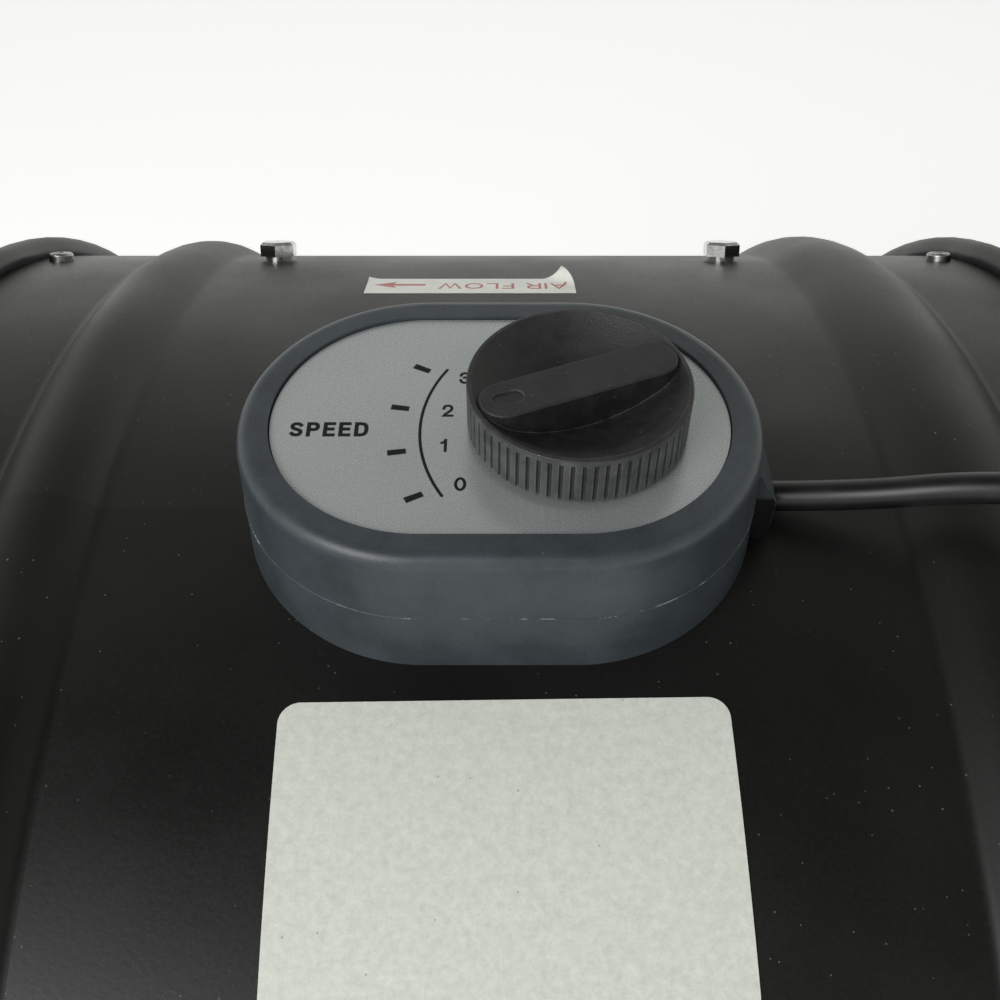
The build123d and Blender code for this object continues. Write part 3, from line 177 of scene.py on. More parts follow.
def specks(tree, place, spacing_mm, share, radius):
    """Scattered dots: one in each cell of spacing_mm, kept in the given share of cells."""
    cells = add(tree, "ShaderNodeTexVoronoi", [("Vector", place), ("Scale", 1000 / spacing_mm)])
    kept = add(tree, "ShaderNodeSeparateColor", [("Color", cells.outputs["Color"])]).outputs[0]
    near = maths(tree, "LESS_THAN", cells.outputs["Distance"], radius)
    return maths(tree, "MULTIPLY", near, maths(tree, "LESS_THAN", kept, share))


def give(material, *names):
    """Puts a material on CAD nodes or pieces, whatever slots they have."""
    for name in names:
        thing = nodes[name] if isinstance(name, str) else name
        thing.data.materials.clear()
        thing.data.materials.append(material)


# -------------------------------------------------------------------- materials
def stove_enamel(name, colour, dust):
    """Satin black stove enamel, sprayed on steel: slight orange peel, fine dust on upper faces."""
    material, tree, shader, place = new_material(name)
    peel = grain(tree, place, 1.1, 4.0, 0.6)
    haze = grain(tree, place, 38.0, 4.0)
    dots = specks(tree, place, 3.1, 0.10, 0.075)
    fine = specks(tree, place, 1.4, 0.08, 0.12)
    speckle = grain(tree, place, 0.8, 5.0, 0.75)
    up = add(tree, "ShaderNodeSeparateXYZ", [
        ("Vector", add(tree, "ShaderNodeNewGeometry").outputs["Normal"])]).outputs["Z"]
    settled = spread(tree, up, 0.3, 0.95)
    dotted = maths(tree, "MULTIPLY", maths(tree, "MAXIMUM", dots, fine), settled)
    dotted = maths(tree, "MULTIPLY", dotted, spread(tree, haze, 0.35, 0.7, 0.1, dust))
    film = maths(tree, "MULTIPLY", spread(tree, haze, 0.3, 0.75, 0.0, 0.012), settled)
    base = blend_colour(tree, film, linear(colour), linear("#6b6d66"))
    wire(tree, blend_colour(tree, dotted, base, linear("#8e8d84")), shader, "Base Color")
    worn = maths(tree, "ADD", maths(tree, "MULTIPLY", haze, 0.5), maths(tree, "MULTIPLY", speckle, 0.5))
    wire(tree, spread(tree, worn, 0.35, 0.65, 0.34, 0.50), shader, "Roughness")
    shader.inputs["Specular IOR Level"].default_value = 0.42
    bumps(tree, shader, peel, 0.06, 0.45)
    return material


def moulded_abs():
    """Slate ABS moulding with a fine spark texture; rubbed a little lighter in patches."""
    material, tree, shader, place = new_material("slate_abs_moulding")
    texture = grain(tree, place, 0.45, 4.0, 0.65)
    patches = grain(tree, place, 14.0, 5.0, 0.6)
    marks = specks(tree, place, 1.8, 0.10, 0.09)
    mixed = maths(tree, "ADD", maths(tree, "MULTIPLY", patches, 0.6),
                  maths(tree, "MULTIPLY", texture, 0.4))
    base = blend_colour(tree, spread(tree, mixed, 0.38, 0.62), linear("#30363a"), linear("#40474c"))
    wire(tree, blend_colour(tree, maths(tree, "MULTIPLY", marks, 0.35), base, linear("#7d8586")),
         shader, "Base Color")
    wire(tree, spread(tree, patches, 0.2, 0.8, 0.32, 0.44), shader, "Roughness")
    bumps(tree, shader, texture, 0.06, 0.6)
    return material


def moulding_flash():
    """Thin ABS flash on the seam, pale only where it is torn or rubbed."""
    material, tree, shader, place = new_material("torn_abs_flash")
    torn = grain(tree, place, 5.0, 6.0, 0.75)
    wire(tree, blend_colour(tree, spread(tree, torn, 0.52, 0.64), linear("#33393c"), linear("#8d9494")),
         shader, "Base Color")
    shader.inputs["Roughness"].default_value = 0.5
    return material


def relief_block():
    """Slate ABS cord block, darker below the cord, with painted shade on its front and back faces up to 8
    mm above the cord.
    """
    material, tree, shader, place = new_material("slate_block_dark_below_painted_shade")
    texture = grain(tree, place, 0.6, 3.0)
    level = add(tree, "ShaderNodeSeparateXYZ", [("Vector", place)]).outputs["Z"]
    facing = add(tree, "ShaderNodeSeparateXYZ", [
        ("Vector", add(tree, "ShaderNodeNewGeometry").outputs["Normal"])]).outputs["Y"]
    # painted shade: faces that look along Y, up to 8 mm above the cord, are drawn near black for the shadow
    # on the block's front face
    sides = maths(tree, "MULTIPLY", spread(tree, maths(tree, "ABSOLUTE", facing), 0.6, 0.75),
                  spread(tree, level, cord_level + 8.5 * MM, cord_level + 7.5 * MM))
    # darker below the cord, joined with the painted shade of the front and back faces
    below = maths(tree, "MAXIMUM", sides,
                  spread(tree, level, cord_level - 0.4 * MM, cord_level - 1.2 * MM))
    wire(tree, blend_colour(tree, below, linear("#3a4044"), linear("#0b0b0b")), shader, "Base Color")
    wire(tree, spread(tree, texture, 0.3, 0.8, 0.36, 0.5), shader, "Roughness")
    bumps(tree, shader, texture, 0.05, 0.5)
    return material


# Rub marks on the plate: place in millimetres and how far each reaches.
rub_marks = ((-19.5, 12.5, 5.0), (-20.5, -10.0, 4.0), (-12.0, -18.5, 3.5))


def printed_plate():
    """Silver-grey lacquered aluminium plate: fine metal flake, faint rub marks beside the scale."""
    material, tree, shader, place = new_material("silver_lacquered_aluminium")
    flake = grain(tree, place, 0.22, 1.0)
    cloud = grain(tree, place, 22.0, 3.0)
    rubbed = grain(tree, place, 1.1, 4.0, 0.7)
    split = add(tree, "ShaderNodeSeparateXYZ", [("Vector", place)])
    rub = 0.0
    for x, y, reach in rub_marks:
        away = maths(tree, "POWER", maths(tree, "SUBTRACT", split.outputs["X"], x * MM), 2.0)
        aside = maths(tree, "POWER", maths(tree, "SUBTRACT", split.outputs["Y"], y * MM), 2.0)
        gap = maths(tree, "SQRT", maths(tree, "ADD", away, aside))
        rub = maths(tree, "ADD", rub, spread(tree, gap, reach * MM, 1.0 * MM))
    worn = maths(tree, "MULTIPLY", spread(tree, rubbed, 0.56, 0.70), rub)
    grey = blend_colour(tree, spread(tree, flake, 0.3, 0.7), linear("#c0c5c6"), linear("#c5cacb"))
    grey = blend_colour(tree, spread(tree, cloud, 0.3, 0.8, 0.0, 0.25), grey, linear("#a1a5a5"))
    wire(tree, blend_colour(tree, maths(tree, "MULTIPLY", worn, 0.45), grey, linear("#635c50")),
         shader, "Base Color")
    shader.inputs["Metallic"].default_value = 0.65
    wire(tree, spread(tree, flake, 0.2, 0.8, 0.24, 0.29), shader, "Roughness")
    bumps(tree, shader, flake, 0.0015, 0.2)
    return material


def black_ink():
    """Screen-printed black ink, slightly broken where it is worn."""
    material, tree, shader, place = new_material("screen_print_black_ink")
    gaps = grain(tree, place, 0.4, 3.0)
    wire(tree, blend_colour(tree, spread(tree, gaps, 0.66, 0.76, 0.0, 0.4),
                            linear("#0a0b0a"), linear("#5a5c5a")), shader, "Base Color")
    shader.inputs["Roughness"].default_value = 0.6
    shader.inputs["Specular IOR Level"].default_value = 0.3
    return material


def knob_plastic():
    """Matt black moulded nylon: dusty in the hollow, greyer where fingers rub its edges; its knurl crests
    are lighter, partly from wear and partly as painted highlight.
    """
    material, tree, shader, place = new_material("black_nylon_knob")
    texture = grain(tree, place, 0.5, 4.0, 0.65)
    dust = grain(tree, place, 4.5, 6.0, 0.68)
    lint = specks(tree, place, 1.1, 0.14, 0.10)
    from_axis = add(tree, "ShaderNodeVectorMath", [(0, place), (1, (knob_x, knob_y, 0))],
                    operation="SUBTRACT").outputs["Vector"]
    flat = add(tree, "ShaderNodeVectorMath", [(0, from_axis), (1, (1, 1, 0))],
               operation="MULTIPLY").outputs["Vector"]
    radius = add(tree, "ShaderNodeVectorMath", [(0, flat)], operation="LENGTH").outputs["Value"]
    # knurl crests lighter than the grooves: finger wear and painted highlight
    crest_wear_and_painted_highlight = spread(tree, radius, knob_radius - 0.3 * MM, knob_radius - 0.03 * MM)
    geometry = add(tree, "ShaderNodeNewGeometry")
    rounded = add(tree, "ShaderNodeBevel", [("Radius", 0.3 * MM)], samples=4).outputs["Normal"]
    same = add(tree, "ShaderNodeVectorMath", [(0, rounded), (1, geometry.outputs["Normal"])],
               operation="DOT_PRODUCT").outputs["Value"]
    worn = maths(tree, "MULTIPLY", spread(tree, same, 0.99, 0.85), spread(tree, dust, 0.3, 0.65))
    level = add(tree, "ShaderNodeSeparateXYZ", [("Vector", geometry.outputs["Normal"])]).outputs["Z"]
    # near-upright faces of the knob, on the crests: finger wear and painted highlight
    finger_wear_and_painted_highlight = maths(tree, "MULTIPLY", spread(tree, maths(tree, "ABSOLUTE", level), 0.5, 0.15),
                    maths(tree, "MULTIPLY", crest_wear_and_painted_highlight, spread(tree, dust, 0.35, 0.65, 0.35, 1.0)))
    base = blend_colour(tree, spread(tree, dust, 0.35, 0.75, 0.1, 1.0),
                        linear("#111212"), linear("#2a2b2b"))
    base = blend_colour(tree, maths(tree, "MULTIPLY", finger_wear_and_painted_highlight, 0.6), base, linear("#5c6060"))
    base = blend_colour(tree, maths(tree, "MULTIPLY", worn, 0.8), base, linear("#7b7d7c"))
    wire(tree, blend_colour(tree, maths(tree, "MULTIPLY", lint, 0.6), base, linear("#8c8c86")),
         shader, "Base Color")
    wire(tree, spread(tree, dust, 0.3, 0.8, 0.46, 0.62), shader, "Roughness")
    bumps(tree, shader, texture, 0.12, 0.8)
    return material


def plated_steel(name, colour, low, high, size_mm=2.0):
    """Plated steel fastener or tube: bright, with faint handling marks."""
    material, tree, shader, place = new_material(name)
    marks = grain(tree, place, size_mm, 4.0)
    wire(tree, blend_colour(tree, spread(tree, marks, 0.35, 0.8), linear(colour), linear("#8b8a86")),
         shader, "Base Color")
    shader.inputs["Metallic"].default_value = 1.0
    wire(tree, spread(tree, marks, 0.3, 0.8, low, high), shader, "Roughness")
    bumps(tree, shader, marks, 0.02, 0.2)
    return material


def galvanised():
    """Hot-dip galvanised sheet: grey zinc with pale spangle about 8 mm across."""
    material, tree, shader, place = new_material("galvanised_sheet")
    spangle = add(tree, "ShaderNodeTexVoronoi", [("Vector", place), ("Scale", 1000 / 8.0)])
    tone = add(tree, "ShaderNodeSeparateColor", [("Color", spangle.outputs["Color"])]).outputs[0]
    wire(tree, blend_colour(tree, tone, linear("#8d9294"), linear("#aeb3b5")), shader, "Base Color")
    shader.inputs["Metallic"].default_value = 0.9
    wire(tree, spread(tree, tone, 0.0, 1.0, 0.38, 0.55), shader, "Roughness")
    return material


def cast_metal():
    """Die-cast aluminium as it leaves the mould: dull grey with a fine skin."""
    material, tree, shader, place = new_material("die_cast_aluminium")
    skin = grain(tree, place, 0.9, 4.0)
    stain = grain(tree, place, 25.0, 3.0)
    wire(tree, blend_colour(tree, spread(tree, stain, 0.3, 0.8), linear("#a3a5a4"), linear("#8a8c8b")),
         shader, "Base Color")
    shader.inputs["Metallic"].default_value = 0.85
    wire(tree, spread(tree, skin, 0.3, 0.8, 0.42, 0.58), shader, "Roughness")
    bumps(tree, shader, skin, 0.06, 0.4)
    return material


def lamination_stack():
    """Stacked steel laminations, 0.5 mm thick, drawn at 1 mm so that they show."""
    material, tree, shader, place = new_material("steel_laminations")
    edges = add(tree, "ShaderNodeTexWave", [("Vector", place), ("Scale", 1000 / (1.0 * 2 * pi))],
                bands_direction="X").outputs["Fac"]
    wire(tree, blend_colour(tree, edges, linear("#4d4f50"), linear("#77797a")), shader, "Base Color")
    shader.inputs["Metallic"].default_value = 0.9
    shader.inputs["Roughness"].default_value = 0.5
    bumps(tree, shader, edges, 0.1, 0.3)
    return material


def rubber(name, colour, roughness):
    """Moulded or extruded black rubber: soft sheen, faint bloom."""
    material, tree, shader, place = new_material(name)
    bloom = grain(tree, place, 9.0, 4.0)
    skin = grain(tree, place, 0.6, 2.0)
    wire(tree, blend_colour(tree, spread(tree, bloom, 0.4, 0.8, 0.0, 0.5),
                            linear(colour), linear("#2c2d2e")), shader, "Base Color")
    wire(tree, spread(tree, bloom, 0.3, 0.8, roughness, roughness + 0.12), shader, "Roughness")
    bumps(tree, shader, skin, 0.02, 0.3)
    return material


def coated_paper():
    """Blank coated-paper label, yellowed and mottled, with fine fibre and a few dirty specks."""
    material, tree, shader, place = new_material("coated_paper_label")
    mottle = grain(tree, place, 1.6, 6.0, 0.8)
    fibre = grain(tree, place, 0.5, 3.0)
    dirt = specks(tree, place, 2.8, 0.14, 0.08)
    base = blend_colour(tree, spread(tree, mottle, 0.3, 0.75), linear("#e2e5dc"), linear("#c3c7be"))
    wire(tree, blend_colour(tree, maths(tree, "MULTIPLY", dirt, 0.5), base, linear("#77776c")),
         shader, "Base Color")
    shader.inputs["Roughness"].default_value = 0.6
    bumps(tree, shader, fibre, 0.02, 0.4)
    return material


def vinyl(name, first, second):
    """Glossy vinyl film, slightly soiled."""
    material, tree, shader, place = new_material(name)
    soil = grain(tree, place, 5.0, 4.0)
    wire(tree, blend_colour(tree, spread(tree, soil, 0.35, 0.8), linear(first), linear(second)),
         shader, "Base Color")
    shader.inputs["Roughness"].default_value = 0.35
    return material


def motor_paint():
    """Semi-gloss black motor paint over rolled steel."""
    material, tree, shader, place = new_material("semi_gloss_motor_paint")
    haze = grain(tree, place, 12.0, 4.0)
    wire(tree, blend_colour(tree, spread(tree, haze, 0.3, 0.8), linear("#1b1c1e"), linear("#2a2b2d")),
         shader, "Base Color")
    wire(tree, spread(tree, haze, 0.3, 0.8, 0.28, 0.42), shader, "Roughness")
    bumps(tree, shader, grain(tree, place, 1.2, 2.0), 0.04, 0.3)
    return material


def woven_tape():
    """Hook-and-loop tape: loops about 0.8 mm across."""
    material, tree, shader, place = new_material("hook_and_loop_tape")
    loops = add(tree, "ShaderNodeTexVoronoi", [("Vector", place), ("Scale", 1000 / 0.8)])
    wire(tree, blend_colour(tree, loops.outputs["Distance"], linear("#0e0e0f"), linear("#37383a")),
         shader, "Base Color")
    shader.inputs["Roughness"].default_value = 0.9
    bumps(tree, shader, loops.outputs["Distance"], 0.3, 0.7)
    return material


def pale_floor():
    """Plain pale studio floor."""
    material, tree, shader, place = new_material("studio_floor")
    shader.inputs["Base Color"].default_value = (0.92, 0.92, 0.92, 1)
    shader.inputs["Roughness"].default_value = 0.8
    shader.inputs["Emission Color"].default_value = (1, 1, 1, 1)
    shader.inputs["Emission Strength"].default_value = 0.5
    return material


def studio_world():
    """Pale all round near the horizon, darkening overhead, like a white sweep under a dark ceiling."""
    world = bpy.data.worlds.new("studio")
    bpy.context.scene.world = world
    world.use_nodes = True
    tree = world.node_tree
    toward = add(tree, "ShaderNodeTexCoord").outputs["Generated"]
    rise = add(tree, "ShaderNodeSeparateXYZ", [("Vector", toward)]).outputs["Z"]
    ramp = add(tree, "ShaderNodeValToRGB", [("Fac", rise)])
    steps = ramp.color_ramp.elements
    for place, light in sky_steps[1:-1]:
        steps.new(place)
    for step, (place, light) in zip(steps, sky_steps):
        step.position = place
        step.color = (light * sky_tint[0], light * sky_tint[1], light * sky_tint[2], 1)
    tree.links.new(ramp.outputs["Color"], tree.nodes["Background"].inputs["Color"])


# Sine of the height above the horizon, and the sky's brightness there.
sky_steps = ((0.0, 0.85), (0.34, 0.60), (0.60, 0.42), (0.80, 0.26), (0.93, 0.08), (1.0, 0.06))
sky_tint = (1.0, 1.01, 0.95)
studio_world()
box_face = (0, 0, face_z)
key_place, key_size, key_watts = (-0.8, -0.9, face_z + 0.9), (0.9, 0.9), 17
strip_place, strip_size, strip_watts = (0.35, 1.5, face_z + 0.6), (1.6, 0.07), 0.9
soft_light("key_softbox", key_place, box_face, key_size, key_watts)
soft_light("edge_strip", strip_place, box_face, strip_size, strip_watts)

enamel = stove_enamel("satin_black_stove_enamel", "#0b0b0a", 0.5)
slate = moulded_abs()
chrome = plated_steel("bright_chrome_plate", "#d2d3d2", 0.10, 0.22)
zinc = plated_steel("zinc_plated_steel", "#a9aba9", 0.26, 0.42)
ink = black_ink()
soft_black = rubber("black_moulded_rubber", "#101011", 0.55)
sheath = rubber("black_cord_sheath", "#0b0b0c", 0.36)

give(enamel, "drum", "left_foot", "right_foot", "inlet_guard", "outlet_guard")
give(slate, "box_base", "box_cover")
give(relief_block(), "cord_block")
give(printed_plate(), "face_plate")
give(knob_plastic(), "speed_knob")
give(chrome, "frame_bolts", "bolt_collars", "foot_bolts", "switch_shaft", "motor_shaft")
give(zinc, "guard_screws", "guard_nuts", "frame_nuts", "shelf_screws", "shelf_nuts", "saddle_screws",
     "strap_screws", "foot_nuts", "pad_screws", "pad_nuts", "box_screws", "box_nuts", "cover_screws",
     "hub_nut", "hub_washer", "switch_nut", "motor_conduit", "motor_bearings")
give(galvanised(), "motor_struts", "motor_shelf", "motor_saddles", "motor_straps", "capacitor_clip")
give(motor_paint(), "motor_case")
give(cast_metal(), "drive_end_bell", "rear_end_bell", "impeller")
give(lamination_stack(), "motor_stator", "motor_rotor")
give(vinyl("black_capacitor_can", "#17181a", "#242527"), "run_capacitor", "rotary_switch")
give(soft_black, "conduit_grommet", "rubber_pads", "strain_relief")
give(sheath, "plug")
give(vinyl("ivory_terminal_moulding", "#cfcbbd", "#b5b1a2"), "terminal_block")
give(woven_tape(), "cord_tie")
give(plated_steel("brass_pins", "#c9a860", 0.2, 0.35), "plug_pins")
give(coated_paper(), "rating_label")


# ---------------------------------------------------------------- mesh helpers
def new_piece(name, points, faces, body="housing", smooth=False):
    """Mesh object at the origin from points and faces, riding on a body."""
    mesh = bpy.data.meshes.new(name)
    mesh.from_pydata([tuple(p) for p in points], [], faces)
    mesh.validate()
    for face in mesh.polygons:
        face.use_smooth = smooth
    piece = bpy.data.objects.new(name, mesh)
    bpy.context.scene.collection.objects.link(piece)
    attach(piece, body)
    return piece


def round_stroke(steps=28):
    turns = [2 * pi * i / steps for i in range(steps + 1)]
    return [(0.5 + 0.5 * sin(t), 0.5 + 0.5 * cos(t)) for t in turns]


bowl = [(0, 1), (0.6, 1), (0.82, 0.96), (0.95, 0.85), (0.98, 0.735), (0.95, 0.62), (0.82, 0.51),
        (0.6, 0.47), (0, 0.47)]
# Each letter is its width over its height, and the centrelines of its strokes in a unit square.
letters = {
    "S": (0.80, [[(0.93, 0.87), (0.76, 0.97), (0.5, 1), (0.22, 0.97), (0.06, 0.87), (0.03, 0.73),
                  (0.12, 0.61), (0.35, 0.54), (0.65, 0.47), (0.9, 0.38), (0.98, 0.26),
                  (0.93, 0.12), (0.76, 0.02), (0.5, 0), (0.22, 0.03), (0.06, 0.13)]]),
    "P": (0.78, [[(0, 0), (0, 1)], bowl]),
    "E": (0.72, [[(1, 1), (0, 1), (0, 0), (1, 0)], [(0, 0.52), (0.9, 0.52)]]),
    "D": (0.84, [[(0, 0), (0, 1), (0.48, 1), (0.78, 0.94), (0.95, 0.77), (1, 0.5), (0.95, 0.23),
                  (0.78, 0.06), (0.48, 0), (0, 0)]]),
    "A": (1.00, [[(0, 0), (0.5, 1), (1, 0)], [(0.17, 0.34), (0.83, 0.34)]]),
    "I": (0.16, [[(0.5, 0), (0.5, 1)]]),
    "R": (0.86, [[(0, 0), (0, 1)], bowl, [(0.55, 0.47), (1, 0)]]),
    "F": (0.74, [[(0, 0), (0, 1), (1, 1)], [(0, 0.52), (0.86, 0.52)]]),
    "L": (0.70, [[(0, 1), (0, 0), (1, 0)]]),
    "O": (1.10, [round_stroke()]),
    "W": (1.35, [[(0, 1), (0.27, 0), (0.5, 0.95), (0.73, 0), (1, 1)]]),
    "0": (0.66, [round_stroke()]),
    "1": (0.50, [[(0.7, 0), (0.7, 1)], [(0.1, 0.75), (0.4, 0.79), (0.6, 0.88), (0.7, 1)]]),
    "2": (0.66, [[(0.03, 0.7), (0.09, 0.87), (0.27, 0.97), (0.5, 1), (0.76, 0.96), (0.94, 0.84),
                  (0.97, 0.69), (0.87, 0.53), (0.6, 0.36), (0.25, 0.17), (0.06, 0), (1, 0)]]),
    "3": (0.66, [[(0.03, 0.75), (0.12, 0.91), (0.3, 0.99), (0.55, 1), (0.82, 0.93), (0.92, 0.77),
                  (0.85, 0.62), (0.62, 0.54), (0.42, 0.535)],
                 [(0.55, 0.54), (0.86, 0.46), (0.98, 0.28), (0.9, 0.1), (0.62, 0), (0.35, 0),
                  (0.1, 0.09), (0, 0.27)]]),
    " ": (0.35, []),
}
letter_gap = 0.2              # between letters, over their height


def stroke(path, half):
    """Flat ribbon of points and faces along a path, with square ends."""
    line = [Vector((x, y, 0)) for x, y in path]
    closed = (line[0] - line[-1]).length < 1e-9
    if not closed:
        line[0] += (line[0] - line[1]).normalized() * half
        line[-1] += (line[-1] - line[-2]).normalized() * half
    sides = [(b - a).normalized().cross(Vector((0, 0, 1))) for a, b in zip(line, line[1:])]
    points, faces = [], []
    for i, here in enumerate(line):
        before = sides[i - 1] if i else (sides[-1] if closed else sides[0])
        after = sides[i] if i < len(sides) else (sides[0] if closed else sides[-1])
        mitre = (before + after).normalized()
        reach = half / max(mitre.dot(after), 0.5)
        points += [here + mitre * reach, here - mitre * reach]
        if i:
            faces.append((2 * i - 2, 2 * i, 2 * i + 1, 2 * i - 1))
    return points, faces


def lettering(words, middle, height, width, weight):
    """Flat ribbons of the words round a middle point; a width of None keeps the letters' own."""
    spans = [letters[w][0] for w in words]
    natural = (sum(spans) + letter_gap * (len(words) - 1)) * height
    stretch = 1.0 if width is None else width / natural
    half = weight / 2
    left, low = middle[0] - natural * stretch / 2, middle[1] - height / 2
    ribbons = []
    for letter, span in zip(words, spans):
        wide = span * height * stretch
        for path in letters[letter][1]:
            ribbons.append(stroke([
                (left + half + u * max(wide - weight, 0), low + half + v * (height - weight))
                for u, v in path], half))
        left += wide + letter_gap * height * stretch
    return ribbons


def raised(points, faces, thickness):
    """Gives flat points (z is ignored) and faces a small thickness, as a closed shape."""
    count = len(points)
    upper = [Vector((p.x, p.y, thickness)) for p in points]
    lower = [Vector((p.x, p.y, 0)) for p in points]
    edges = {}
    for face in faces:
        for a, b in zip(face, face[1:] + face[:1]):
            edges[(a, b)] = edges.get((a, b), 0) + 1
    rims = [(b, a, a + count, b + count) for a, b in edges if (b, a) not in edges]
    below = [tuple(reversed([i + count for i in face])) for face in faces]
    return upper + lower, list(faces) + below + rims


print_thickness = 0.03 * MM


def laid(name, shapes, material, body="housing"):
    """One piece from several closed shapes, each a (points, faces) pair already in place."""
    points, faces = [], []
    for more, some in shapes:
        faces += [tuple(i + len(points) for i in face) for face in some]
        points += more
    piece = new_piece(name, points, faces, body)
    give(material, piece)
    return piece


# ----------------------------------------------------- printing on the face plate
scale_x, scale_y = 17.7 * MM, -3.1 * MM
tick_angles = (-27.4, -9.1, 9.2, 27.5)          # 0 to 3, from the -X side round to the back
tick_inner, tick_outer, tick_width = 35.6 * MM, 39.1 * MM, 1.4 * MM
arc_radius, arc_half_angle, arc_width = 32.8 * MM, 31.4, 0.58 * MM
arc_steps = 48
digit_places = (("0", -7.2, -17.1), ("1", -10.4, -7.3), ("2", -10.0, 2.1), ("3", -6.9, 11.4))
digit_height = 3.35 * MM
word_left, word_right, word_low, word_high = (v * MM for v in (-39.7, -24.8, -4.9, -1.1))


def on_scale(radius, angle):
    """Flat point at a radius and an angle round the scale's centre."""
    turn = radians(angle)
    return Vector((scale_x - radius * cos(turn), scale_y + radius * sin(turn), 0))


def printed(points, faces, layer=0):
    thick, closed = raised(points, faces, print_thickness * (1 + 0.15 * layer))
    return [p + Vector((0, 0, plate_high.z)) for p in thick], closed


def scale_print():
    """Ticks, arc, digits and the word on the face plate."""
    shapes = []
    for angle in tick_angles:
        half = degrees(tick_width / 2 / tick_outer)
        corners = [on_scale(tick_inner, angle - half), on_scale(tick_inner, angle + half),
                   on_scale(tick_outer, angle + half), on_scale(tick_outer, angle - half)]
        shapes.append(printed(corners, [(0, 3, 2, 1)][::-1]))
    arc, strip = [], []
    for step in range(arc_steps + 1):
        angle = -arc_half_angle + 2 * arc_half_angle * step / arc_steps
        arc += [on_scale(arc_radius - arc_width / 2, angle), on_scale(arc_radius + arc_width / 2, angle)]
        if step:
            strip.append((2 * step - 2, 2 * step - 1, 2 * step + 1, 2 * step))
    shapes.append(printed(arc, strip))
    for digit, x, y in digit_places:
        ribbons = lettering(digit, (x * MM, y * MM), digit_height, None, 0.56 * MM)
        shapes += [printed(*ribbon, layer) for layer, ribbon in enumerate(ribbons)]
    middle = ((word_left + word_right) / 2, (word_low + word_high) / 2)
    ribbons = lettering("SPEED", middle, word_high - word_low, word_right - word_left, 0.78 * MM)
    shapes += [printed(*ribbon, layer % 3) for layer, ribbon in enumerate(ribbons)]
    return laid("scale_print", shapes, ink)


scale_print()

# ------------------------------------------------------------- seam of the box
def seam_ridge():
    """Line of moulding flash where the cover meets the base, standing a little proud."""
    low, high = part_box("box_cover")
    reach, straight = high.y, high.x - high.y
    proud, half, steps = 0.14 * MM, 0.16 * MM, 48
    points, faces = [], []
    count = 2 * (steps + 1)
    for end in (1, -1):
        for step in range(steps + 1):
            turn = (pi / 2 if end < 0 else -pi / 2) + pi * step / steps
            for out, up in ((-0.1 * MM, half), (proud, 0), (-0.1 * MM, -half)):
                points.append(Vector((end * straight + (reach + out) * cos(turn),
                                      (reach + out) * sin(turn), low.z + up)))
    for i in range(count):
        j = (i + 1) % count
        for a, b in ((0, 1), (1, 2), (2, 0)):
            faces.append((3 * i + a, 3 * i + b, 3 * j + b, 3 * j + a))
    ridge = laid("seam_ridge", [(points, faces)], moulding_flash())


seam_ridge()

# ------------------------------------------------------------- air flow sticker
sticker_left, sticker_right = -37.0 * MM, 20.7 * MM
sticker_near, sticker_far = 94.8 * MM, 109.0 * MM      # distances round the drum from its top
sticker_thickness = 0.12 * MM
sticker_gap = 0.02 * MM
# A crease is two points on the sheet and the radius at which the corner beyond it rolls up.
creases = (
    ((11.6 * MM, 109.0 * MM), (20.7 * MM, 99.5 * MM), 2.6 * MM),
    ((-37.0 * MM, 104.5 * MM), (-33.0 * MM, 109.0 * MM), 7.0 * MM),
)
sticker_cell = 0.7 * MM


def on_sticker(x, along, height):
    """Point at a height above the sticker, which follows the drum and rolls up past its creases."""
    flat = Vector((x, along))
    lift = sticker_gap + height
    for first, second, radius in creases:
        start = Vector(first)
        line = (Vector(second) - start).normalized()
        across = Vector((-line.y, line.x))
        past = (flat - start).dot(across)
        if past > 0:
            turn = past / radius
            flat += across * ((radius - height) * sin(turn) - past)
            lift = sticker_gap + radius - (radius - height) * cos(turn)
    return on_drum(flat.x, flat.y, lift)


def diced(points, faces, pitch):
    """Cuts flat faces on a square grid, so that they can follow a curved sheet."""
    mesh = bmesh.new()
    verts = [mesh.verts.new(p) for p in points]
    for face in faces:
        mesh.faces.new([verts[i] for i in face])
    for axis in (0, 1):
        low, high = min(p[axis] for p in points), max(p[axis] for p in points)
        normal = [0, 0, 0]
        normal[axis] = 1
        for step in range(1, int((high - low) / pitch) + 1):
            place = [0, 0, 0]
            place[axis] = low + step * pitch
            bmesh.ops.bisect_plane(mesh, geom=mesh.verts[:] + mesh.edges[:] + mesh.faces[:],
                                   plane_co=place, plane_no=normal)
    mesh.verts.index_update()
    cut = [v.co.copy() for v in mesh.verts], [tuple(v.index for v in f.verts) for f in mesh.faces]
    mesh.free()
    return cut


def wrapped(points, faces, low, high):
    """Closed thin shape between two heights above the sticker; point x, y are x and distance round."""
    cut, kept = diced(points, faces, sticker_cell)
    thick, closed = raised(cut, kept, high - low)
    return [on_sticker(p.x, p.y, low + p.z) for p in thick], closed


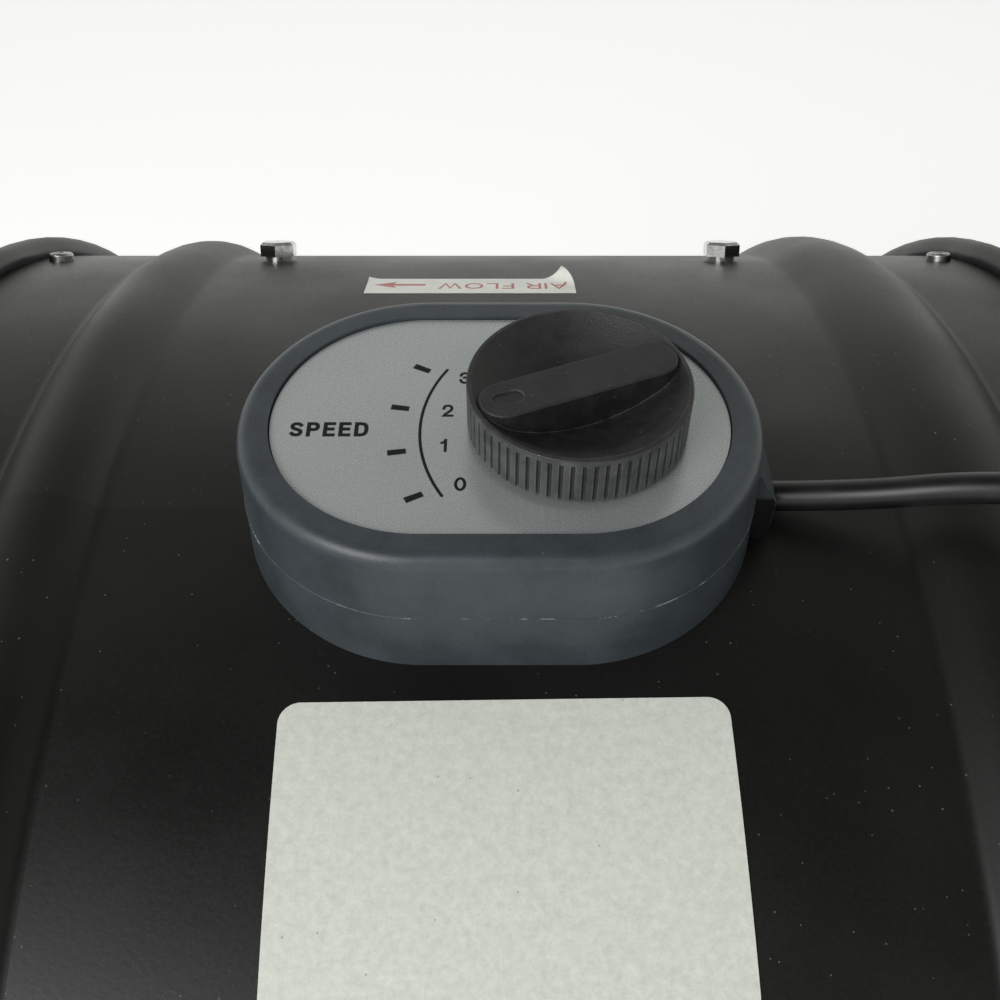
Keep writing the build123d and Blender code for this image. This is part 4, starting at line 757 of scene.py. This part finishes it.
def sticker_print():
    """The words, which read from behind, and the arrow after them."""
    red = vinyl("faded_red_print", "#b8564c", "#a9473f")
    words_left, words_right = 18.6 * MM, -16.9 * MM
    words_near, words_far = 98.6 * MM, 104.0 * MM
    middle = ((words_left + words_right) / 2, (words_near + words_far) / 2)
    ribbons = lettering("AIR FLOW", (0, 0), words_far - words_near, words_left - words_right, 0.74 * MM)
    arrow = [(-20.7, 101.6), (-20.7, 103.2), (-29.6, 103.2), (-28.6, 105.4), (-34.8, 102.4),
             (-28.6, 99.5), (-29.6, 101.6)]
    marks = [Vector((x * MM, s * MM, 0)) for x, s in arrow]
    low, high = sticker_thickness, sticker_thickness + print_thickness
    return laid("air_flow_print", [
        wrapped([Vector((middle[0] - p.x, middle[1] - p.y, 0)) for p in points], faces,
                low, high + layer % 3 * 0.15 * print_thickness)
        for layer, (points, faces) in enumerate(ribbons)
    ] + [wrapped(marks, [(0, 1, 2, 6), (2, 3, 4), (2, 4, 6), (6, 4, 5)], low, high)], red)


def sticker_sheet():
    white = vinyl("white_vinyl_film", "#eeefea", "#dddfd8")
    corners = [Vector((x, s, 0)) for x, s in (
        (sticker_left, sticker_near), (sticker_right, sticker_near),
        (sticker_right, sticker_far), (sticker_left, sticker_far))]
    return laid("air_flow_sticker", [wrapped(corners, [(0, 1, 2, 3)], 0, sticker_thickness)], white)


sheet = sticker_sheet()
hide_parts("airflow_label")
sticker_print()

# ------------------------------------------------------------------- power cord
cord_radius = 3.15 * MM
cord_run = (
    (54.66, 0, 571.8), (71, -3, 575.0), (92, -8, 583.6), (117, -13.5, 587.0), (143, -18, 586.0),
    (168, -21.5, 575.5), (184.5, -24.5, 554), (190, -27, 525), (188.5, -28.5, 484), (190, -30, 424),
    (188, -31, 350), (190.5, -33, 276), (188.5, -34.5, 202), (190, -36.5, 140), (191, -41, 92),
    (193, -50, 54), (196, -65, 26), (199, -87, 9), (202, -114, 4.2), (205, -140, 4.2),
)
cord_tail = ((288, -121, 4.9), (287.5, -106, 7.3), (287.5, -92, 8.5))
coil_x, coil_y = 242.9, -135.6
coil_start, coil_turns, coil_points = 186.6, 4.4817, 16
coil_radii = (31.85, 38.15, 44.45)
coil_low, coil_high = 4.2, 10.5


def coil_place(turns):
    """Radius and height of the coil's centreline after some turns, in mm."""
    inner, middle, outer = coil_radii
    stages = (        # from, to (in turns), radius at each, height at each
        (0.00, 0.75, middle, middle, coil_low, coil_low),
        (0.75, 1.00, middle, inner, coil_low, coil_low),
        (1.00, 1.50, inner, inner, coil_low, coil_low),
        (1.50, 1.75, inner, inner, coil_low, coil_high),
        (1.75, 2.25, inner, inner, coil_high, coil_high),
        (2.25, 2.50, inner, middle, coil_high, coil_high),
        (2.50, 3.00, middle, middle, coil_high, coil_high),
        (3.00, 3.25, middle, outer, coil_high, coil_high),
        (3.25, 4.00, outer, outer, coil_high, coil_high),
        (4.00, 4.25, outer, outer, coil_high, coil_low),
        (4.25, 5.00, outer, outer, coil_low, coil_low),
    )
    for start, end, near, far, low, high in stages:
        if turns <= end:
            share = (turns - start) / (end - start)
            return near + (far - near) * share, low + (high - low) * share


def power_cord():
    """The mains cord: out of the box, down beside the drum, a tied coil on the floor, then the plug."""
    route = list(cord_run)
    for step in range(int(coil_turns * coil_points)):
        turns = (step + 0.5) / coil_points
        radius, height = coil_place(turns)
        reach = radius / cos(pi / coil_points)
        angle = radians(coil_start) + 2 * pi * turns
        route.append((coil_x + reach * cos(angle), coil_y + reach * sin(angle), height))
    route += cord_tail
    data = bpy.data.curves.new("power_cord_line", "CURVE")
    data.dimensions = "3D"
    line = data.splines.new("NURBS")
    line.points.add(len(route) - 1)
    for point, place in zip(line.points, route):
        point.co = (place[0] * MM, place[1] * MM, place[2] * MM, 1)
    line.order_u = 3
    line.use_endpoint_u = True
    line.resolution_u = 6
    data.bevel_depth = cord_radius
    data.bevel_resolution = 5
    data.use_fill_caps = True
    cord = bpy.data.objects.new("power_cord_sheath", data)
    bpy.context.scene.collection.objects.link(cord)
    data.materials.append(sheath)
    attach(cord, "housing")
    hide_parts("power_cord", "cord_tail", "cord_coil")


power_cord()

# ------------------------------------------------------------------ wire guards
guard_x = 141.0 * MM
guard_rim = 262.5 * MM
guard_tab_angles = tuple(30 + 60 * i for i in range(6))


def socket(tree, name, kind, value):
    made = tree.interface.new_socket(name=name, in_out="INPUT", socket_type=kind)
    made.default_value = value
    return made


def guard_tree(material):
    """Welded round-wire guard in the YZ plane: rings, and spokes behind them."""
    tree = bpy.data.node_groups.new("wire_guard", "GeometryNodeTree")
    tree.is_modifier = True
    for name, kind, value in (
        ("Rim Radius", "NodeSocketFloat", guard_rim), ("Ring Pitch", "NodeSocketFloat", 18 * MM),
        ("Ring Count", "NodeSocketInt", 12), ("Spoke Count", "NodeSocketInt", 10),
        ("Disc Radius", "NodeSocketFloat", 50 * MM), ("Wire Radius", "NodeSocketFloat", 1.4 * MM),
        ("Side", "NodeSocketFloat", 1.0),
    ):
        socket(tree, name, kind, value)
    tree.interface.new_socket(name="Geometry", in_out="OUTPUT", socket_type="NodeSocketGeometry")
    given = add(tree, "NodeGroupInput").outputs
    index = add(tree, "GeometryNodeInputIndex").outputs[0]
    profile = add(tree, "GeometryNodeCurvePrimitiveCircle", [
        ("Resolution", 10), ("Radius", given["Wire Radius"])]).outputs["Curve"]

    def swept(points, curve, scale=None, turn=None):
        pairs = [("Points", points), ("Instance", curve)]
        if scale is not None:
            pairs.append(("Scale", scale))
        if turn is not None:
            pairs.append(("Rotation", turn))
        placed = add(tree, "GeometryNodeInstanceOnPoints", pairs).outputs["Instances"]
        loose = add(tree, "GeometryNodeRealizeInstances", [("Geometry", placed)]).outputs["Geometry"]
        return add(tree, "GeometryNodeCurveToMesh", [
            ("Curve", loose), ("Profile Curve", profile), ("Fill Caps", True)]).outputs["Mesh"]

    def spots(count):
        line = add(tree, "GeometryNodeMeshLine", [("Count", count), ("Offset", (0, 0, 0))])
        return line.outputs["Mesh"]

    radius = maths(tree, "SUBTRACT", given["Rim Radius"],
                   maths(tree, "MULTIPLY", index, given["Ring Pitch"]))
    circle = add(tree, "GeometryNodeCurvePrimitiveCircle", [("Resolution", 128), ("Radius", 1.0)])
    size = add(tree, "ShaderNodeCombineXYZ", [("X", radius), ("Y", radius), ("Z", radius)]).outputs[0]
    rings = swept(spots(given["Ring Count"]), circle.outputs["Curve"], scale=size)
    spoke = add(tree, "GeometryNodeCurvePrimitiveLine", [
        ("Start", add(tree, "ShaderNodeCombineXYZ", [("X", given["Disc Radius"])]).outputs[0]),
        ("End", add(tree, "ShaderNodeCombineXYZ", [("X", given["Rim Radius"])]).outputs[0])])
    step = maths(tree, "DIVIDE", 2 * pi, given["Spoke Count"])
    angle = maths(tree, "MULTIPLY", maths(tree, "ADD", index, 0.5), step)
    turn = add(tree, "ShaderNodeCombineXYZ", [("Z", angle)]).outputs[0]
    spokes = swept(spots(given["Spoke Count"]), spoke.outputs["Curve"], turn=turn)
    sunk = maths(tree, "MULTIPLY", given["Wire Radius"], -1.8)
    behind = add(tree, "GeometryNodeTransform", [
        ("Geometry", spokes), ("Translation", add(tree, "ShaderNodeCombineXYZ", [("Z", sunk)]).outputs[0])])
    both = add(tree, "GeometryNodeJoinGeometry")
    tree.links.new(rings, both.inputs[0])
    tree.links.new(behind.outputs["Geometry"], both.inputs[0])
    upright = add(tree, "GeometryNodeTransform", [
        ("Geometry", both.outputs[0]), ("Rotation", (0, pi / 2, 0))])
    facing = add(tree, "GeometryNodeTransform", [
        ("Geometry", upright.outputs["Geometry"]),
        ("Rotation", add(tree, "ShaderNodeCombineXYZ", [
            ("Z", maths(tree, "MULTIPLY", maths(tree, "SUBTRACT", 1.0, given["Side"]), pi / 2)),
        ]).outputs[0])])
    smooth = add(tree, "GeometryNodeSetShadeSmooth", [("Geometry", facing.outputs["Geometry"])])
    real = add(tree, "GeometryNodeRealizeInstances", [("Geometry", smooth.outputs[0])])
    painted = add(tree, "GeometryNodeSetMaterial", [
        ("Geometry", real.outputs["Geometry"]), ("Material", material)])
    out = add(tree, "NodeGroupOutput")
    tree.links.new(painted.outputs["Geometry"], out.inputs["Geometry"])
    return tree


def grown(name, tree, values):
    """Runs a geometry-nodes tree with named input values and keeps its result as a plain mesh."""
    holder = bpy.data.objects.new(name, bpy.data.meshes.new(name + "_seed"))
    bpy.context.scene.collection.objects.link(holder)
    growth = holder.modifiers.new("growth", "NODES")
    growth.node_group = tree
    for item in tree.interface.items_tree:
        if item.in_out == "INPUT" and item.name in values:
            growth[item.identifier] = values[item.name]
    graph = bpy.context.evaluated_depsgraph_get()
    mesh = bpy.data.meshes.new_from_object(holder.evaluated_get(graph), depsgraph=graph)
    bpy.data.objects.remove(holder)
    return mesh


def bar(low, high, place):
    """Closed box between two corners, moved by a matrix."""
    points = [place @ Vector((x, y, z)) for x in (low[0], high[0]) for y in (low[1], high[1])
              for z in (low[2], high[2])]
    return points, [(0, 1, 3, 2), (4, 6, 7, 5), (0, 4, 5, 1), (2, 3, 7, 6), (0, 2, 6, 4), (1, 5, 7, 3)]


def disc(x, radius, half, steps=72):
    """Closed round plate about the drum's axis."""
    ring = [(radius * cos(2 * pi * i / steps), radius * sin(2 * pi * i / steps)) for i in range(steps)]
    points = [Vector((x + side * half, y, axis_z + z)) for side in (-1, 1) for y, z in ring]
    faces = [tuple(range(steps))[::-1], tuple(range(steps, 2 * steps))]
    faces += [(i, (i + 1) % steps, (i + 1) % steps + steps, i + steps) for i in range(steps)]
    return points, faces


def wire_guard(node, side, tree):
    """Round wires, centre plate and fixing tabs of one guard."""
    mesh = grown(node + "_wires", tree, {"Side": float(side)})
    mesh.transform(Matrix.Translation((side * guard_x, 0, axis_z)))
    wires = bpy.data.objects.new(node + "_wires", mesh)
    bpy.context.scene.collection.objects.link(wires)
    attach(wires, "housing")
    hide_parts(node)
    tab_outer, tab_thickness = 265.7 * MM, 2.0 * MM
    tab_near, tab_far, tab_half = 126.9 * MM, 142.9 * MM, 9.8 * MM
    shapes = [disc(side * guard_x, 52 * MM, 1.4 * MM)]
    for angle in guard_tab_angles:
        place = Matrix.Translation((0, 0, axis_z)) @ Matrix.Rotation(radians(angle), 4, "X")
        low, high = sorted((side * tab_near, side * tab_far))
        shapes.append(bar((low, -tab_half, tab_outer - tab_thickness),
                          (high, tab_half, tab_outer), place))
    plate = laid(node + "_fixings", shapes, enamel)
    soften = plate.modifiers.new("edges", "BEVEL")
    soften.width = 0.4 * MM
    soften.segments = 2


wire_tree = guard_tree(enamel)
wire_guard("inlet_guard", 1, wire_tree)
wire_guard("outlet_guard", -1, wire_tree)

# ------------------------------------------------------------------------ floor
floor_half = 6.0
floor = bpy.data.objects.new("floor", bpy.data.meshes.new("floor"))
floor_corners = [(x * floor_half, y * floor_half, 0) for x, y in ((-1, -1), (1, -1), (1, 1), (-1, 1))]
floor.data.from_pydata(floor_corners, [], [(0, 1, 2, 3)])
bpy.context.scene.collection.objects.link(floor)
give(pale_floor(), floor)
